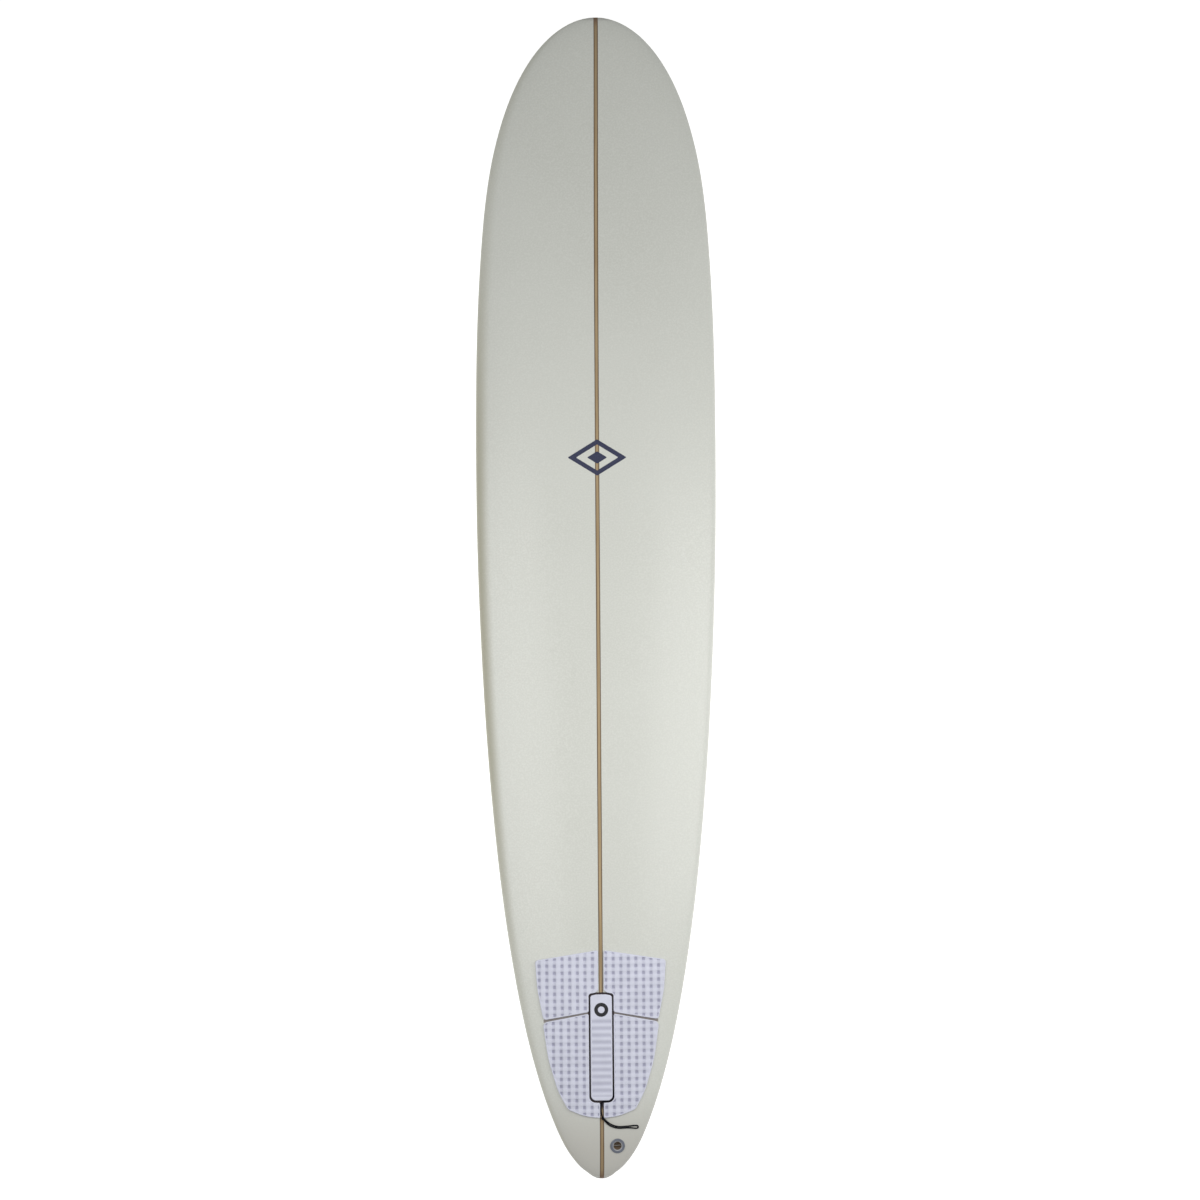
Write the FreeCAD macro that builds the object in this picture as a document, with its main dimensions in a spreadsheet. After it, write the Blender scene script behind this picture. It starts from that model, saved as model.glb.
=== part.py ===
"""Longboard surfboard with a five-piece traction pad, a leash plug, a leash string and removable fins.

The nose points along +Y, the deck faces +Z and +X is the right-hand rail seen from above. The origin is
under the middle of the board, level with the tip of the centre fin. All sizes are in millimetres.
"""

import FreeCAD, Part
import math
import os
import Sketcher
from FreeCAD import Placement, Rotation, Vector

# Driving dimensions: alias, value, meaning
SIZES = [
    ("board_length", 2743.2, "overall length"),
    ("base_height", 134.48, "lowest point of the planing surface above the centre fin's tip"),
    ("full_thickness", 73.0, "thickness at the middle"),
    ("deck_share", 0.58, "share of the thickness above the rail's widest line"),
    ("nose_thinning", 0.58, "share of the thickness lost towards the nose"),
    ("tail_thinning", 0.50, "share of the thickness lost towards the tail"),
    ("nose_rocker", 115.0, "rise of the planing surface at the nose"),
    ("tail_rocker", 57.0, "rise of the planing surface at the tail"),
    ("rocker_power", 2.6, "how late the rocker sets in"),
    ("deck_crown_power", 2.8, "deck section: 2 is an ellipse, more is flatter"),
    ("bottom_power", 10.0, "bottom section: 2 is an ellipse, more is flatter"),
    ("width_nose_1in", 161.0, "full width 1 in from the nose"),
    ("width_nose_6in", 370.0, "full width 6 in from the nose"),
    ("width_nose_12in", 476.0, "full width 12 in from the nose"),
    ("width_nose_24in", 550.0, "full width 24 in from the nose"),
    ("width_nose_36in", 569.0, "full width 36 in from the nose"),
    ("width_middle", 560.0, "full width at the middle"),
    ("width_tail_36in", 509.0, "full width 36 in from the tail"),
    ("width_tail_24in", 444.0, "full width 24 in from the tail"),
    ("width_tail_12in", 332.0, "full width 12 in from the tail"),
    ("width_tail_6in", 239.0, "full width 6 in from the tail"),
    ("width_tail_2in", 138.0, "full width 2 in from the tail"),
    ("width_tail_1in", 93.0, "full width 1 in from the tail"),
    ("width_tail_tip", 60.0, "full width half an inch from the tail"),
    ("laminate_thickness", 1.0, "glass cloth and resin"),
    ("glue_gap", 0.5, "resin line between laminate and foam"),
    ("rail_seam", 0.1, "half of the gap between the deck and bottom laminates"),
    ("stringer_core_width", 6.0, "light wood core"),
    ("stringer_band_width", 1.9, "darker strip on each side of the core"),
    ("glue_line", 0.1, "between the stringer's strips and the foam"),
    ("rout_clearance", 0.15, "gap around every part let into the board"),
    ("emblem_width", 140.0, "deck emblem, across the board"),
    ("emblem_length", 86.0, "deck emblem, along the board"),
    ("emblem_line", 9.0, "width of the emblem's lines"),
    ("emblem_y", 336.0, "emblem's centre ahead of the middle"),
    ("decal_thickness", 0.3, "printed film"),
    ("decal_gap", 0.1, "between a decal or pad and what it is stuck to"),
    ("pad_thickness", 5.0, "foam of the four outer pads"),
    ("bar_thickness", 6.5, "foam of the centre bar"),
    ("badge_radius", 16.5, "ring on the centre bar"),
    ("badge_hole_radius", 8.0, "hole in that ring"),
    ("badge_y", -970.0, "ring's centre"),
    ("plug_x", 36.7, "leash plug, right of the stringer"),
    ("plug_y", -1292.5, "leash plug, behind the middle"),
    ("plug_flange_radius", 17.5, "rim that lies on the deck"),
    ("plug_flange_thickness", 1.6, "rim that lies on the deck"),
    ("plug_body_radius", 14.2, "cup let into the board"),
    ("plug_depth", 19.0, "cup let into the board"),
    ("plug_mouth_radius", 11.5, "mouth at the rim's top"),
    ("plug_bore_radius", 9.35, "straight wall of the cup"),
    ("plug_bore_depth", 5.4, "end of the straight wall below the deck; a half-round bowl follows"),
    ("plug_bore_top", 1.0, "where the straight wall starts below the deck"),
    ("plug_bar_radius", 1.6, "steel bar"),
    ("plug_bar_length", 26.0, "steel bar"),
    ("plug_bar_depth", 7.0, "bar's centre line below the deck"),
    ("cord_diameter", 3.1, "leash string"),
    ("knot_radius", 3.8, "knot of the leash string"),
    ("knot_height", 3.4, "half the height of the knot"),
    ("fin_box_y", -1136.0, "centre of the centre fin's box"),
    ("fin_box_length", 267.0, "10 1/2 in box"),
    ("fin_box_width", 26.0, "centre fin box, outside"),
    ("fin_box_depth", 26.0, "centre fin box, outside"),
    ("fin_box_recess", 1.0, "box face below the planing surface at its middle"),
    ("fin_slot_length", 252.0, "slot in the box"),
    ("fin_slot_width", 8.8, "slot in the box"),
    ("fin_slot_depth", 20.0, "slot in the box"),
    ("channel_width", 15.4, "cross channel for the pin and the plate"),
    ("channel_low", 10.4, "channel's near side, from the box face"),
    ("channel_high", 15.2, "channel's far side, from the box face"),
    ("entry_length", 17.0, "notch that lets the plate and the pin into the channel"),
    ("fin_offset", -16.0, "centre fin's place in the box at rest"),
    ("fin_base", 140.0, "centre fin's base length"),
    ("fin_height", 178.0, "centre fin, 7 in"),
    ("fin_rake", 92.0, "how far the centre fin's tip trails"),
    ("fin_thickness", 8.4, "centre fin at its base"),
    ("tab_thickness", 8.2, "centre fin's tongue in the slot"),
    ("tab_depth", 18.5, "centre fin's tongue in the slot"),
    ("ear_length", 22.0, "low front part of the tongue, under the screw"),
    ("ear_low", 3.0, "ear's outer side, from the box face"),
    ("ear_high", 9.6, "ear's inner side, from the box face"),
    ("pin_radius", 2.1, "brass cross pin"),
    ("pin_length", 14.8, "brass cross pin"),
    ("pin_inset", 12.0, "cross pin from the back of the fin's base"),
    ("plate_length", 14.0, "threaded plate"),
    ("plate_width", 14.6, "threaded plate"),
    ("plate_thickness", 3.2, "threaded plate"),
    ("screw_radius", 2.0, "fin screw's shank"),
    ("screw_head_radius", 3.8, "fin screw's head"),
    ("screw_head_thickness", 2.6, "fin screw's head"),
    ("screw_length", 12.2, "fin screw under its head"),
    ("screw_clearance", 0.05, "around the screw's shank"),
    ("screw_slot_width", 1.2, "driver slot"),
    ("screw_slot_depth", 1.3, "driver slot"),
    ("side_box_x", 142.0, "side fin boxes from the stringer"),
    ("side_box_y", -992.0, "side fin boxes behind the middle"),
    ("side_toe", 2.0, "degrees that the side fins point at the nose"),
    ("side_box_length", 124.0, "side fin box, outside"),
    ("side_box_width", 15.0, "side fin box, outside"),
    ("side_box_depth", 17.0, "side fin box, outside"),
    ("side_box_recess", 0.3, "box face below the planing surface at its middle"),
    ("side_slot_back", 56.0, "slot's back end from the box's centre"),
    ("side_slot_front", 44.0, "slot's front end from the box's centre"),
    ("side_slot_width", 6.8, "slot in the side fin box"),
    ("side_slot_depth", 13.0, "slot in the side fin box"),
    ("side_tab_thickness", 6.2, "side fin's tongue"),
    ("side_tab_depth", 12.4, "side fin's tongue"),
    ("side_tab_gap", 0.4, "tongue's ends inside the slot"),
    ("side_fin_height", 92.0, "side fins, 3 5/8 in"),
    ("side_fin_rake", 44.0, "how far a side fin's tip trails"),
    ("side_fin_thickness", 6.0, "side fin at its base"),
    ("grub_radius", 3.0, "side fin screw"),
    ("grub_length", 8.0, "side fin screw"),
    ("grub_y", 46.9, "side fin screw ahead of the box's centre"),
    ("grub_recess", 1.0, "side fin screw below the box's face"),
    ("grub_hole_radius", 3.08, "its hole"),
    ("grub_hole_depth", 10.5, "its hole"),
    ("grub_key_radius", 1.5, "hexagon socket, centre to corner"),
    ("grub_key_depth", 3.0, "hexagon socket"),
]

INCH = 25.4
TIP_POWER = 20  # roundness of the nose and tail in the side view; larger is blunter
ROW_COUNT = 80  # steps of the angle between the cross-sections that the hull's surfaces pass through
EMBEDDED = 1.0  # how far joined solids reach into each other

doc = FreeCAD.newDocument("Longboard")
sheet = doc.addObject("Spreadsheet::Sheet", "Sizes")
for row, (alias, value, meaning) in enumerate(SIZES, 1):
    sheet.set(f"A{row}", meaning)
    sheet.set(f"B{row}", str(value))
    sheet.setAlias(f"B{row}", alias)
doc.recompute()


# ---------------------------------------------------------------- sizes and bindings

def size(name):
    """The number in the sheet's cell of that alias."""
    return float(sheet.get(name))


def cell(name):
    """A size as (number, expression)."""
    return size(name), f"Sizes.{name}"


def minus(a):
    return -a[0], f"-({a[1]})"


def plus(a, b):
    return a[0] + b[0], f"({a[1]}) + ({b[1]})"


def times(a, factor):
    return a[0] * factor, f"({a[1]}) * {factor}"


def half(name):
    return times(cell(name), 0.5)


ZERO = (0.0, "0")


def bind(thing, **properties):
    """Binds each property of a document object to its expression."""
    for name, (_, expression) in properties.items():
        thing.setExpression(name, expression)
    return thing


def add(kind, name, **properties):
    """A new document object with bound properties."""
    return bind(doc.addObject(kind, name), **properties)


def cut(name, base, *tools):
    """base less the tools, as one boolean object."""
    made = doc.addObject("Part::Cut", name)
    made.Base = base
    made.Tool = tools[0] if len(tools) == 1 else fuse(f"{name}_tools", *tools)
    return made


def fuse(name, *shapes):
    made = doc.addObject("Part::MultiFuse", name)
    made.Shapes = list(shapes)
    return made


def common(name, base, tool):
    made = doc.addObject("Part::Common", name)
    made.Base = base
    made.Tool = tool
    return made


def surface_feature(name, shape):
    """A free-form shape that no parametric feature makes."""
    made = doc.addObject("Part::Feature", name)
    made.Shape = shape
    return made


# ---------------------------------------------------------------- the board's form

HALF_LENGTH = size("board_length") / 2
WIDTHS = [  # inches from the nose, full width
    (1, "width_nose_1in"), (6, "width_nose_6in"), (12, "width_nose_12in"), (24, "width_nose_24in"),
    (36, "width_nose_36in"), (54, "width_middle"), (72, "width_tail_36in"), (84, "width_tail_24in"),
    (96, "width_tail_12in"), (102, "width_tail_6in"), (106, "width_tail_2in"), (107, "width_tail_1in"),
    (107.5, "width_tail_tip"),
]


def fullness_stations():
    """The half-width at each station over that of an ellipse of unit half-width, against the angle."""
    found = []
    for inches, name in WIDTHS:
        angle = math.acos((HALF_LENGTH - inches * INCH) / HALF_LENGTH)
        found.append((angle, size(name) / 2 / math.sin(angle)))
    return found


FULLNESS = fullness_stations()


def smooth_value(table, where):
    """The smooth curve through the table's points, level before the first and after the last."""
    if where <= table[0][0]:
        return table[0][1]
    if where >= table[-1][0]:
        return table[-1][1]
    last = len(table) - 1
    i = max(k for k in range(last) if table[k][0] <= where)

    def slope(k):
        if k in (0, last):
            return 0.0
        (a, fa), (b, fb), (c, fc) = table[k - 1:k + 2]
        return ((fb - fa) / (b - a) * (c - b) + (fc - fb) / (c - b) * (b - a)) / (c - a)

    (a, fa), (b, fb) = table[i], table[i + 1]
    span = b - a
    u = (where - a) / span
    return (fa * (1 + 2 * u) * (1 - u) ** 2 + slope(i) * span * u * (1 - u) ** 2
            + fb * u * u * (3 - 2 * u) + slope(i + 1) * span * u * u * (u - 1))


def foil_thickness(along):
    """Thickness of the board on its centre line before the tips are rounded, from -1 (tail) to 1 (nose)."""
    thinning = size("nose_thinning") if along > 0 else size("tail_thinning")
    return size("full_thickness") * (1 - thinning * along * along)


def planing_height(along):
    rocker = size("nose_rocker") if along > 0 else size("tail_rocker")
    return size("base_height") + rocker * abs(along) ** size("rocker_power")


def tip_rounding(along):
    return math.sqrt(max(0.0, 1 - abs(along) ** TIP_POWER))


def rail_height(y):
    """Height of the rail's widest line. At the tail it comes down to the flat bottom."""
    along = y / HALF_LENGTH
    rise = (1 - size("deck_share")) * foil_thickness(along)
    if along < 0:
        rise *= tip_rounding(along)
    return planing_height(along) + rise


def section(y, inset=0.0):
    """Half-width, rise above and fall below the rail line, and the two powers, at one place along the board."""
    along = y / (HALF_LENGTH - inset)
    angle = math.acos(max(-1.0, min(1.0, along)))
    half_width = max(0.001, math.sin(angle) * (smooth_value(FULLNESS, angle) - inset))
    thickness = foil_thickness(along)
    above = (size("deck_share") * thickness - inset) * tip_rounding(along)
    below = ((1 - size("deck_share")) * thickness - inset) * tip_rounding(along)
    deck_power = 2 + (size("deck_crown_power") - 2) * (1 - along ** 2)
    bottom_power = 2 + (size("bottom_power") - 2) * (1 - along ** 4)
    return half_width, above, below, deck_power, bottom_power


def deck_height(x, y, inset=0.0):
    half_width, above, _, power, _ = section(y, inset)
    return rail_height(y) + above * math.sqrt(max(0.0, 1 - min(1.0, abs(x) / half_width) ** power))


def bottom_height(x, y, inset=0.0):
    half_width, _, below, _, power = section(y, inset)
    return rail_height(y) - below * math.sqrt(max(0.0, 1 - min(1.0, abs(x) / half_width) ** power))


def contour_point(y, turn, inset=0.0, seam=0.0):
    """A point of one cross-section: turn 0 is the deck's middle, 90 degrees the right rail, 180 the bottom."""
    half_width, above, below, deck_power, bottom_power = section(y, inset)
    across = math.sin(turn)
    share = min(1.0, abs(across))
    if math.cos(turn) >= 0:
        z = rail_height(y) + seam + (above - seam) * math.sqrt(1 - share ** deck_power)
    else:
        z = rail_height(y) - seam - (below - seam) * math.sqrt(1 - share ** bottom_power)
    return Vector(half_width * across, y, z)


def stations(inset, end_half_width):
    """Places along the board, close together at the tips, from where the half-width is end_half_width.
    Between the ends, every skin has its rows at the same angles, so that nested skins stay nested."""
    def end_angle(towards_nose):
        low, high = 0.0, 0.5
        for _ in range(40):
            middle = (low + high) / 2
            y = (HALF_LENGTH - inset) * math.cos(middle) * (1 if towards_nose else -1)
            if section(y, inset)[0] < end_half_width:
                low = middle
            else:
                high = middle
        return high

    nose, tail = end_angle(True), math.pi - end_angle(False)
    spacing = math.pi / ROW_COUNT
    between = [spacing * i for i in range(ROW_COUNT, 0, -1)
               if nose + spacing / 2 < spacing * i < tail - spacing / 2]
    return [(HALF_LENGTH - inset) * math.cos(a) for a in [tail] + between + [nose]]


def spline_surface(rows):
    surface = Part.BSplineSurface()
    surface.interpolate(rows)
    return surface


def side_edges(surface):
    """The four boundary edges of a surface: first row, last row, first column, last column."""
    u0, u1, v0, v1 = surface.bounds()
    return [surface.uIso(u0).toShape(), surface.uIso(u1).toShape(),
            surface.vIso(v0).toShape(), surface.vIso(v1).toShape()]


def closed_solid(faces):
    shell = Part.makeShell(faces)
    shell.sewShape()
    solid = Part.makeSolid(shell)
    if solid.Volume < 0:
        solid.reverse()
    return solid


def slab(outer_rows, inner_rows):
    """The solid between two surfaces that have the same rows and columns of points."""
    outer, inner = spline_surface(outer_rows), spline_surface(inner_rows)
    rims = [Part.makeRuledSurface(a, b) for a, b in zip(side_edges(outer), side_edges(inner))]
    return closed_solid([outer.toShape(), inner.toShape()] + rims)


def foam_half(side, flat_x, inset):
    """One half of the blank: the hull's outer skin from the stringer round the rail to the stringer."""
    rows = []
    for y in stations(inset, flat_x * 1.6):
        first = math.asin(flat_x / section(y, inset)[0])
        turns = [first + (math.pi - 2 * first) * i / 24 for i in range(25)]
        points = [contour_point(y, turn, inset) for turn in turns]
        points[0].x = points[-1].x = flat_x
        rows.append([Vector(side * p.x, p.y, p.z) for p in points])
    skin = spline_surface(rows)
    tail_arc, nose_arc, top_edge, bottom_edge = side_edges(skin)
    flat = Part.makeRuledSurface(top_edge, bottom_edge)
    ends = []
    for arc in (tail_arc, nose_arc):
        chord = Part.makeLine(arc.Vertexes[0].Point, arc.Vertexes[-1].Point)
        ends.append(Part.Face(Part.Wire([arc, chord])))
    return closed_solid([skin.toShape(), flat] + ends)


def laminate(deck_side):
    """The glass skin of the deck or of the bottom, from rail line to rail line."""
    def rows(inset):
        made = []
        for y in stations(0.0, 6.0):
            y_here = y * (HALF_LENGTH - inset) / HALF_LENGTH
            turns = [math.pi * (i / 32 - 0.5) for i in range(33)]
            if not deck_side:
                turns = [math.pi - t for t in turns]
            made.append([contour_point(y_here, t, inset, size("rail_seam")) for t in turns])
        return made

    return slab(rows(0.0), rows(size("laminate_thickness")))


def profile_face(inset, x):
    """The board's side view on its centre line, inset all round, as a face at that x."""
    ys = [-(HALF_LENGTH - inset) * math.cos(math.pi * i / 100) for i in range(101)]
    top = [Vector(x, y, deck_height(0, y, inset)) for y in ys]
    bottom = [Vector(x, y, bottom_height(0, y, inset)) for y in ys]
    top[0], top[-1] = bottom[0], bottom[-1]
    edges = []
    for points in (top, bottom):
        curve = Part.BSplineCurve()
        curve.interpolate(points)
        edges.append(curve.toShape())
    return Part.Face(Part.Wire(edges))


def deck_layer(name, low, high, x_range, y_range):
    """The space between two heights over the deck, above one rectangle."""
    def rows(lift):
        xs = [x_range[0] + (x_range[1] - x_range[0]) * i / 12 for i in range(13)]
        ys = [y_range[0] + (y_range[1] - y_range[0]) * i / 12 for i in range(13)]
        return [[Vector(x, y, deck_height(x, y) + lift) for x in xs] for y in ys]

    return surface_feature(name, slab(rows(high), rows(low)))


def surface_frame(x, y, height_of, towards_board):
    """A frame on the hull's surface: its Z leaves the surface (into the board if towards_board), its Y follows the board."""
    step = 1.0
    slope_x = (height_of(x + step, y) - height_of(x - step, y)) / (2 * step)
    slope_y = (height_of(x, y + step) - height_of(x, y - step)) / (2 * step)
    up = Vector(-slope_x, -slope_y, 1).normalize()
    along = Vector(0, 1, slope_y).normalize()
    return Placement(Vector(x, y, height_of(x, y)), Rotation(along.cross(up), along, up, "ZXY"))


# ---------------------------------------------------------------- paths and outlines

def rounded_edges(points, radii, closed):
    """Straight runs joined by tangent arcs of the given radii, one radius per corner."""
    count = len(points)
    corners = range(count) if closed else range(1, count - 1)
    entry, leave, arcs = {}, {}, {}
    for i in corners:
        here = points[i]
        back = (points[i - 1] - here).normalize()
        ahead = (points[(i + 1) % count] - here).normalize()
        half_turn = (math.pi - back.getAngle(ahead)) / 2
        reach = radii[i] * math.tan(half_turn)
        bisector = (back + ahead).normalize()
        entry[i], leave[i] = here + back * reach, here + ahead * reach
        nearest = here + bisector * (radii[i] / math.cos(half_turn) - radii[i])
        arcs[i] = Part.Arc(entry[i], nearest, leave[i]).toShape()
    edges = []
    for i in range(count if closed else count - 1):
        j = (i + 1) % count
        start, end = leave.get(i, points[i]), entry.get(j, points[j])
        if (end - start).Length > 1e-4:
            edges.append(Part.makeLine(start, end))
        if j in arcs:
            edges.append(arcs[j])
    return edges


def prism(name, corners, low, high):
    """An upright prism over a rounded outline: corners are (x, y, radius)."""
    points = [Vector(x, y, low) for x, y, _ in corners]
    wire = Part.Wire(Part.sortEdges(rounded_edges(points, [r for _, _, r in corners], True))[0])
    outline = surface_feature(f"{name}_outline", Part.Face(wire))
    made = doc.addObject("Part::Extrusion", f"{name}_prism")
    made.Base = outline
    made.DirMode = "Custom"
    made.Dir = Vector(0, 0, 1)
    made.LengthFwd = high - low
    return made


def origin_plane(body, role):
    return next(f for f in body.Origin.OriginFeatures if f.Role == role)


def sketch(body, name, role, corners):
    """A closed outline in one of the body's planes whose corner coordinates are bound to the sheet."""
    made = body.newObject("Sketcher::SketchObject", name)
    made.AttachmentSupport = [(origin_plane(body, role), "")]
    made.MapMode = "FlatFace"
    places = [Vector(x[0], y[0], 0) for x, y in corners]
    for i, place in enumerate(places):
        made.addGeometry(Part.LineSegment(place, places[(i + 1) % len(places)]), False)
    for i, (x, y) in enumerate(corners):
        made.addConstraint(Sketcher.Constraint("Coincident", i - 1 if i else len(corners) - 1, 2, i, 1))
        for kind, (value, expression) in (("DistanceX", x), ("DistanceY", y)):
            at = made.addConstraint(Sketcher.Constraint(kind, -1, 1, i, 1, value))
            if expression != "0":
                made.setExpression(f"Constraints[{at}]", expression)
    return made


def circle_sketch(body, name, role, x, y, radius):
    made = body.newObject("Sketcher::SketchObject", name)
    made.AttachmentSupport = [(origin_plane(body, role), "")]
    made.MapMode = "FlatFace"
    made.addGeometry(Part.Circle(Vector(x[0], y[0], 0), Vector(0, 0, 1), radius[0]), False)
    for at, (kind, value) in enumerate((("DistanceX", x), ("DistanceY", y))):
        made.addConstraint(Sketcher.Constraint(kind, -1, 1, 0, 3, value[0]))
        if value[1] != "0":
            made.setExpression(f"Constraints[{at}]", value[1])
    made.addConstraint(Sketcher.Constraint("Radius", 0, radius[0]))
    made.setExpression("Constraints[2]", radius[1])
    return made


def rectangle(back, front, width):
    """Corners of a rectangle along Y, centred on X 0, for a sketch in the XY plane."""
    side = times(width, 0.5)
    return [(minus(side), back), (side, back), (side, front), (minus(side), front)]


def pad_up(body, name, outline, length):
    made = body.newObject("PartDesign::Pad", name)
    made.Profile = outline
    bind(made, Length=length)
    return made


def pocket_up(body, name, outline, length):
    """A pocket that goes into the box from its face at Z 0, towards +Z."""
    made = body.newObject("PartDesign::Pocket", name)
    made.Profile = outline
    made.Reversed = True
    bind(made, Length=length)
    return made


def new_body(name, frame):
    body = doc.addObject("PartDesign::Body", name)
    body.Placement = frame
    return body


PARTS = {}


def piece(node, shape):
    """Registers a finished sub-part under its node's name."""
    shape.Label = node
    PARTS[node] = shape


# ---------------------------------------------------------------- frames of the parts let into the board

PLUG_FRAME = surface_frame(size("plug_x"), size("plug_y"), deck_height, False)
BOX_FRAME = surface_frame(0, size("fin_box_y"), bottom_height, True)
BOX_FRAME = BOX_FRAME * Placement(Vector(0, 0, size("fin_box_recess")), Rotation())


def side_frame(side):
    frame = surface_frame(side * size("side_box_x"), size("side_box_y"), bottom_height, True)
    toe = Rotation(Vector(0, 0, 1), side * size("side_toe"))
    return frame * Placement(Vector(0, 0, size("side_box_recess")), toe)


def placed(thing, frame, x=0.0, y=0.0, z=0.0, turn=None):
    """Puts a primitive at a place in a frame."""
    thing.Placement = frame * Placement(Vector(x, y, z), turn or Rotation())
    return thing


# ---------------------------------------------------------------- routs for boxes and plug

def box_rout(name, frame, length, width, depth, outside):
    """The slot cut in the board for a fin box, reaching out of the board below the box's face."""
    gap = size("rout_clearance")
    made = doc.addObject("Part::Box", name)
    bind(made, Length=plus(cell(width), (2 * gap, f"2 * Sizes.rout_clearance")),
         Width=plus(cell(length), (2 * gap, f"2 * Sizes.rout_clearance")),
         Height=plus(cell(depth), (outside + gap, f"{outside} + Sizes.rout_clearance")))
    return placed(made, frame, -size(width) / 2 - gap, -size(length) / 2 - gap, -outside)


ROUT_OUTSIDE = 12.0
centre_rout = box_rout("centre_box_rout", BOX_FRAME, "fin_box_length", "fin_box_width", "fin_box_depth",
                       ROUT_OUTSIDE)
side_routs = {side: box_rout(f"side_box_rout_{word}", side_frame(side), "side_box_length", "side_box_width",
                             "side_box_depth", ROUT_OUTSIDE)
              for side, word in ((-1, "left"), (1, "right"))}
plug_rout = add("Part::Cylinder", "plug_rout", Radius=plus(cell("plug_body_radius"), cell("rout_clearance")),
                Height=plus(cell("plug_depth"), (ROUT_OUTSIDE, f"{ROUT_OUTSIDE} + Sizes.rout_clearance")))
placed(plug_rout, PLUG_FRAME, z=-size("plug_depth") - size("rout_clearance"))


# ---------------------------------------------------------------- blank, stringer and glass

FOAM_INSET = size("laminate_thickness") + size("glue_gap")
CORE_HALF = size("stringer_core_width") / 2
BAND_INNER = CORE_HALF + size("glue_line")
BAND_OUTER = BAND_INNER + size("stringer_band_width")

for side, word in ((-1, "left"), (1, "right")):
    blank = surface_feature(f"blank_{word}_uncut", foam_half(side, BAND_OUTER + size("glue_line"), FOAM_INSET))
    tools = [centre_rout, side_routs[side]] + ([plug_rout] if side == 1 else [])
    piece(f"foam_blank_{word}", cut(f"blank_{word}", blank, *tools))


def stringer_strip(node, x, width):
    """One upright strip of the stringer, cut out for the centre fin box."""
    outline = surface_feature(f"{node}_profile", profile_face(FOAM_INSET, x))
    strip = doc.addObject("Part::Extrusion", f"{node}_strip")
    strip.Base = outline
    strip.DirMode = "Custom"
    strip.Dir = Vector(1, 0, 0)
    bind(strip, LengthFwd=cell(width))
    piece(node, cut(f"{node}_cut", strip, centre_rout))


stringer_strip("stringer_core", -CORE_HALF, "stringer_core_width")
stringer_strip("stringer_band_left", -BAND_OUTER, "stringer_band_width")
stringer_strip("stringer_band_right", BAND_INNER, "stringer_band_width")

deck_skin = surface_feature("deck_skin_uncut", laminate(True))
piece("deck_laminate", cut("deck_skin", deck_skin, plug_rout))
bottom_skin = surface_feature("bottom_skin_uncut", laminate(False))
piece("bottom_laminate", cut("bottom_skin", bottom_skin, centre_rout, side_routs[-1], side_routs[1]))


# ---------------------------------------------------------------- traction pad

PAD_LOW, PAD_HIGH = 150.0, 320.0  # heights that every pad prism spans
BAR_HALF = 25.4
BAR_TOP, BAR_BOTTOM = -934.0, -1184.0
BAR_GAP = 4.3
NOTCH = BAR_HALF + BAR_GAP

PAD_OUTLINES = {  # x, y, corner radius, for the right-hand pads; the left-hand ones are mirrored
    "pad_front": [(6.7, -829.5, 4.0), (155.0, -853.0, 8.0), (150.5, -920.0, 260.0), (136.5, -994.0, 8.0),
                  (NOTCH, -975.5, 5.0), (NOTCH, BAR_TOP + 1.5, 7.0), (14.0, BAR_TOP + BAR_GAP, 3.0),
                  (6.7, BAR_TOP + 10.0, 3.0)],
    "pad_rear": [(NOTCH, -979.4, 4.0), (138.0, -1000.0, 12.0), (125.5, -1088.0, 300.0),
                 (103.0, -1163.0, 160.0), (80.0, -1205.5, 16.0), (40.0, -1222.0, 120.0),
                 (4.6, -1225.5, 2.0), (4.6, -1190.0, 2.5), (NOTCH, BAR_BOTTOM - BAR_GAP, 15.0)],
}
BAR_OUTLINE = [(-BAR_HALF, BAR_TOP - 3.0, 6.0), (-12.0, BAR_TOP, 14.0), (12.0, BAR_TOP, 14.0),
               (BAR_HALF, BAR_TOP - 3.0, 6.0), (BAR_HALF, BAR_BOTTOM, 12.0), (-BAR_HALF, BAR_BOTTOM, 12.0)]

pad_layer = {
    side: deck_layer(f"pad_layer_{word}", size("decal_gap"), size("decal_gap") + size("pad_thickness"),
                     sorted((side * 2.0, side * 160.0)), (-1230.0, -820.0))
    for side, word in ((-1, "left"), (1, "right"))
}
for side, word in ((-1, "left"), (1, "right")):
    for name, outline in PAD_OUTLINES.items():
        corners = [(side * x, y, r) for x, y, r in outline]
        solid = prism(f"{name}_{word}", corners, PAD_LOW, PAD_HIGH)
        piece(f"{name}_{word}", common(f"{name}_{word}_common", pad_layer[side], solid))

bar_layer = deck_layer("bar_layer", size("decal_gap"), size("decal_gap") + size("bar_thickness"),
                       (-40.0, 40.0), (-1200.0, -920.0))
bar_prism = prism("pad_center_bar", BAR_OUTLINE, PAD_LOW, PAD_HIGH)
piece("pad_center_bar", common("pad_center_bar_common", bar_layer, bar_prism))

badge_low = size("bar_thickness") + 2 * size("decal_gap")
badge_layer = deck_layer("badge_layer", badge_low, badge_low + size("decal_thickness"), (-22.0, 22.0),
                         (size("badge_y") - 22.0, size("badge_y") + 22.0))
badge_disc = add("Part::Cylinder", "badge_disc", Radius=cell("badge_radius"))
badge_hole = add("Part::Cylinder", "badge_hole", Radius=cell("badge_hole_radius"))
for disc in (badge_disc, badge_hole):
    disc.Height = PAD_HIGH - PAD_LOW
    disc.Placement.Base = Vector(0, size("badge_y"), PAD_LOW)
piece("pad_badge", common("pad_badge_ring", badge_layer, cut("badge_tube", badge_disc, badge_hole)))


# ---------------------------------------------------------------- deck emblem: two nested lozenges

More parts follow.
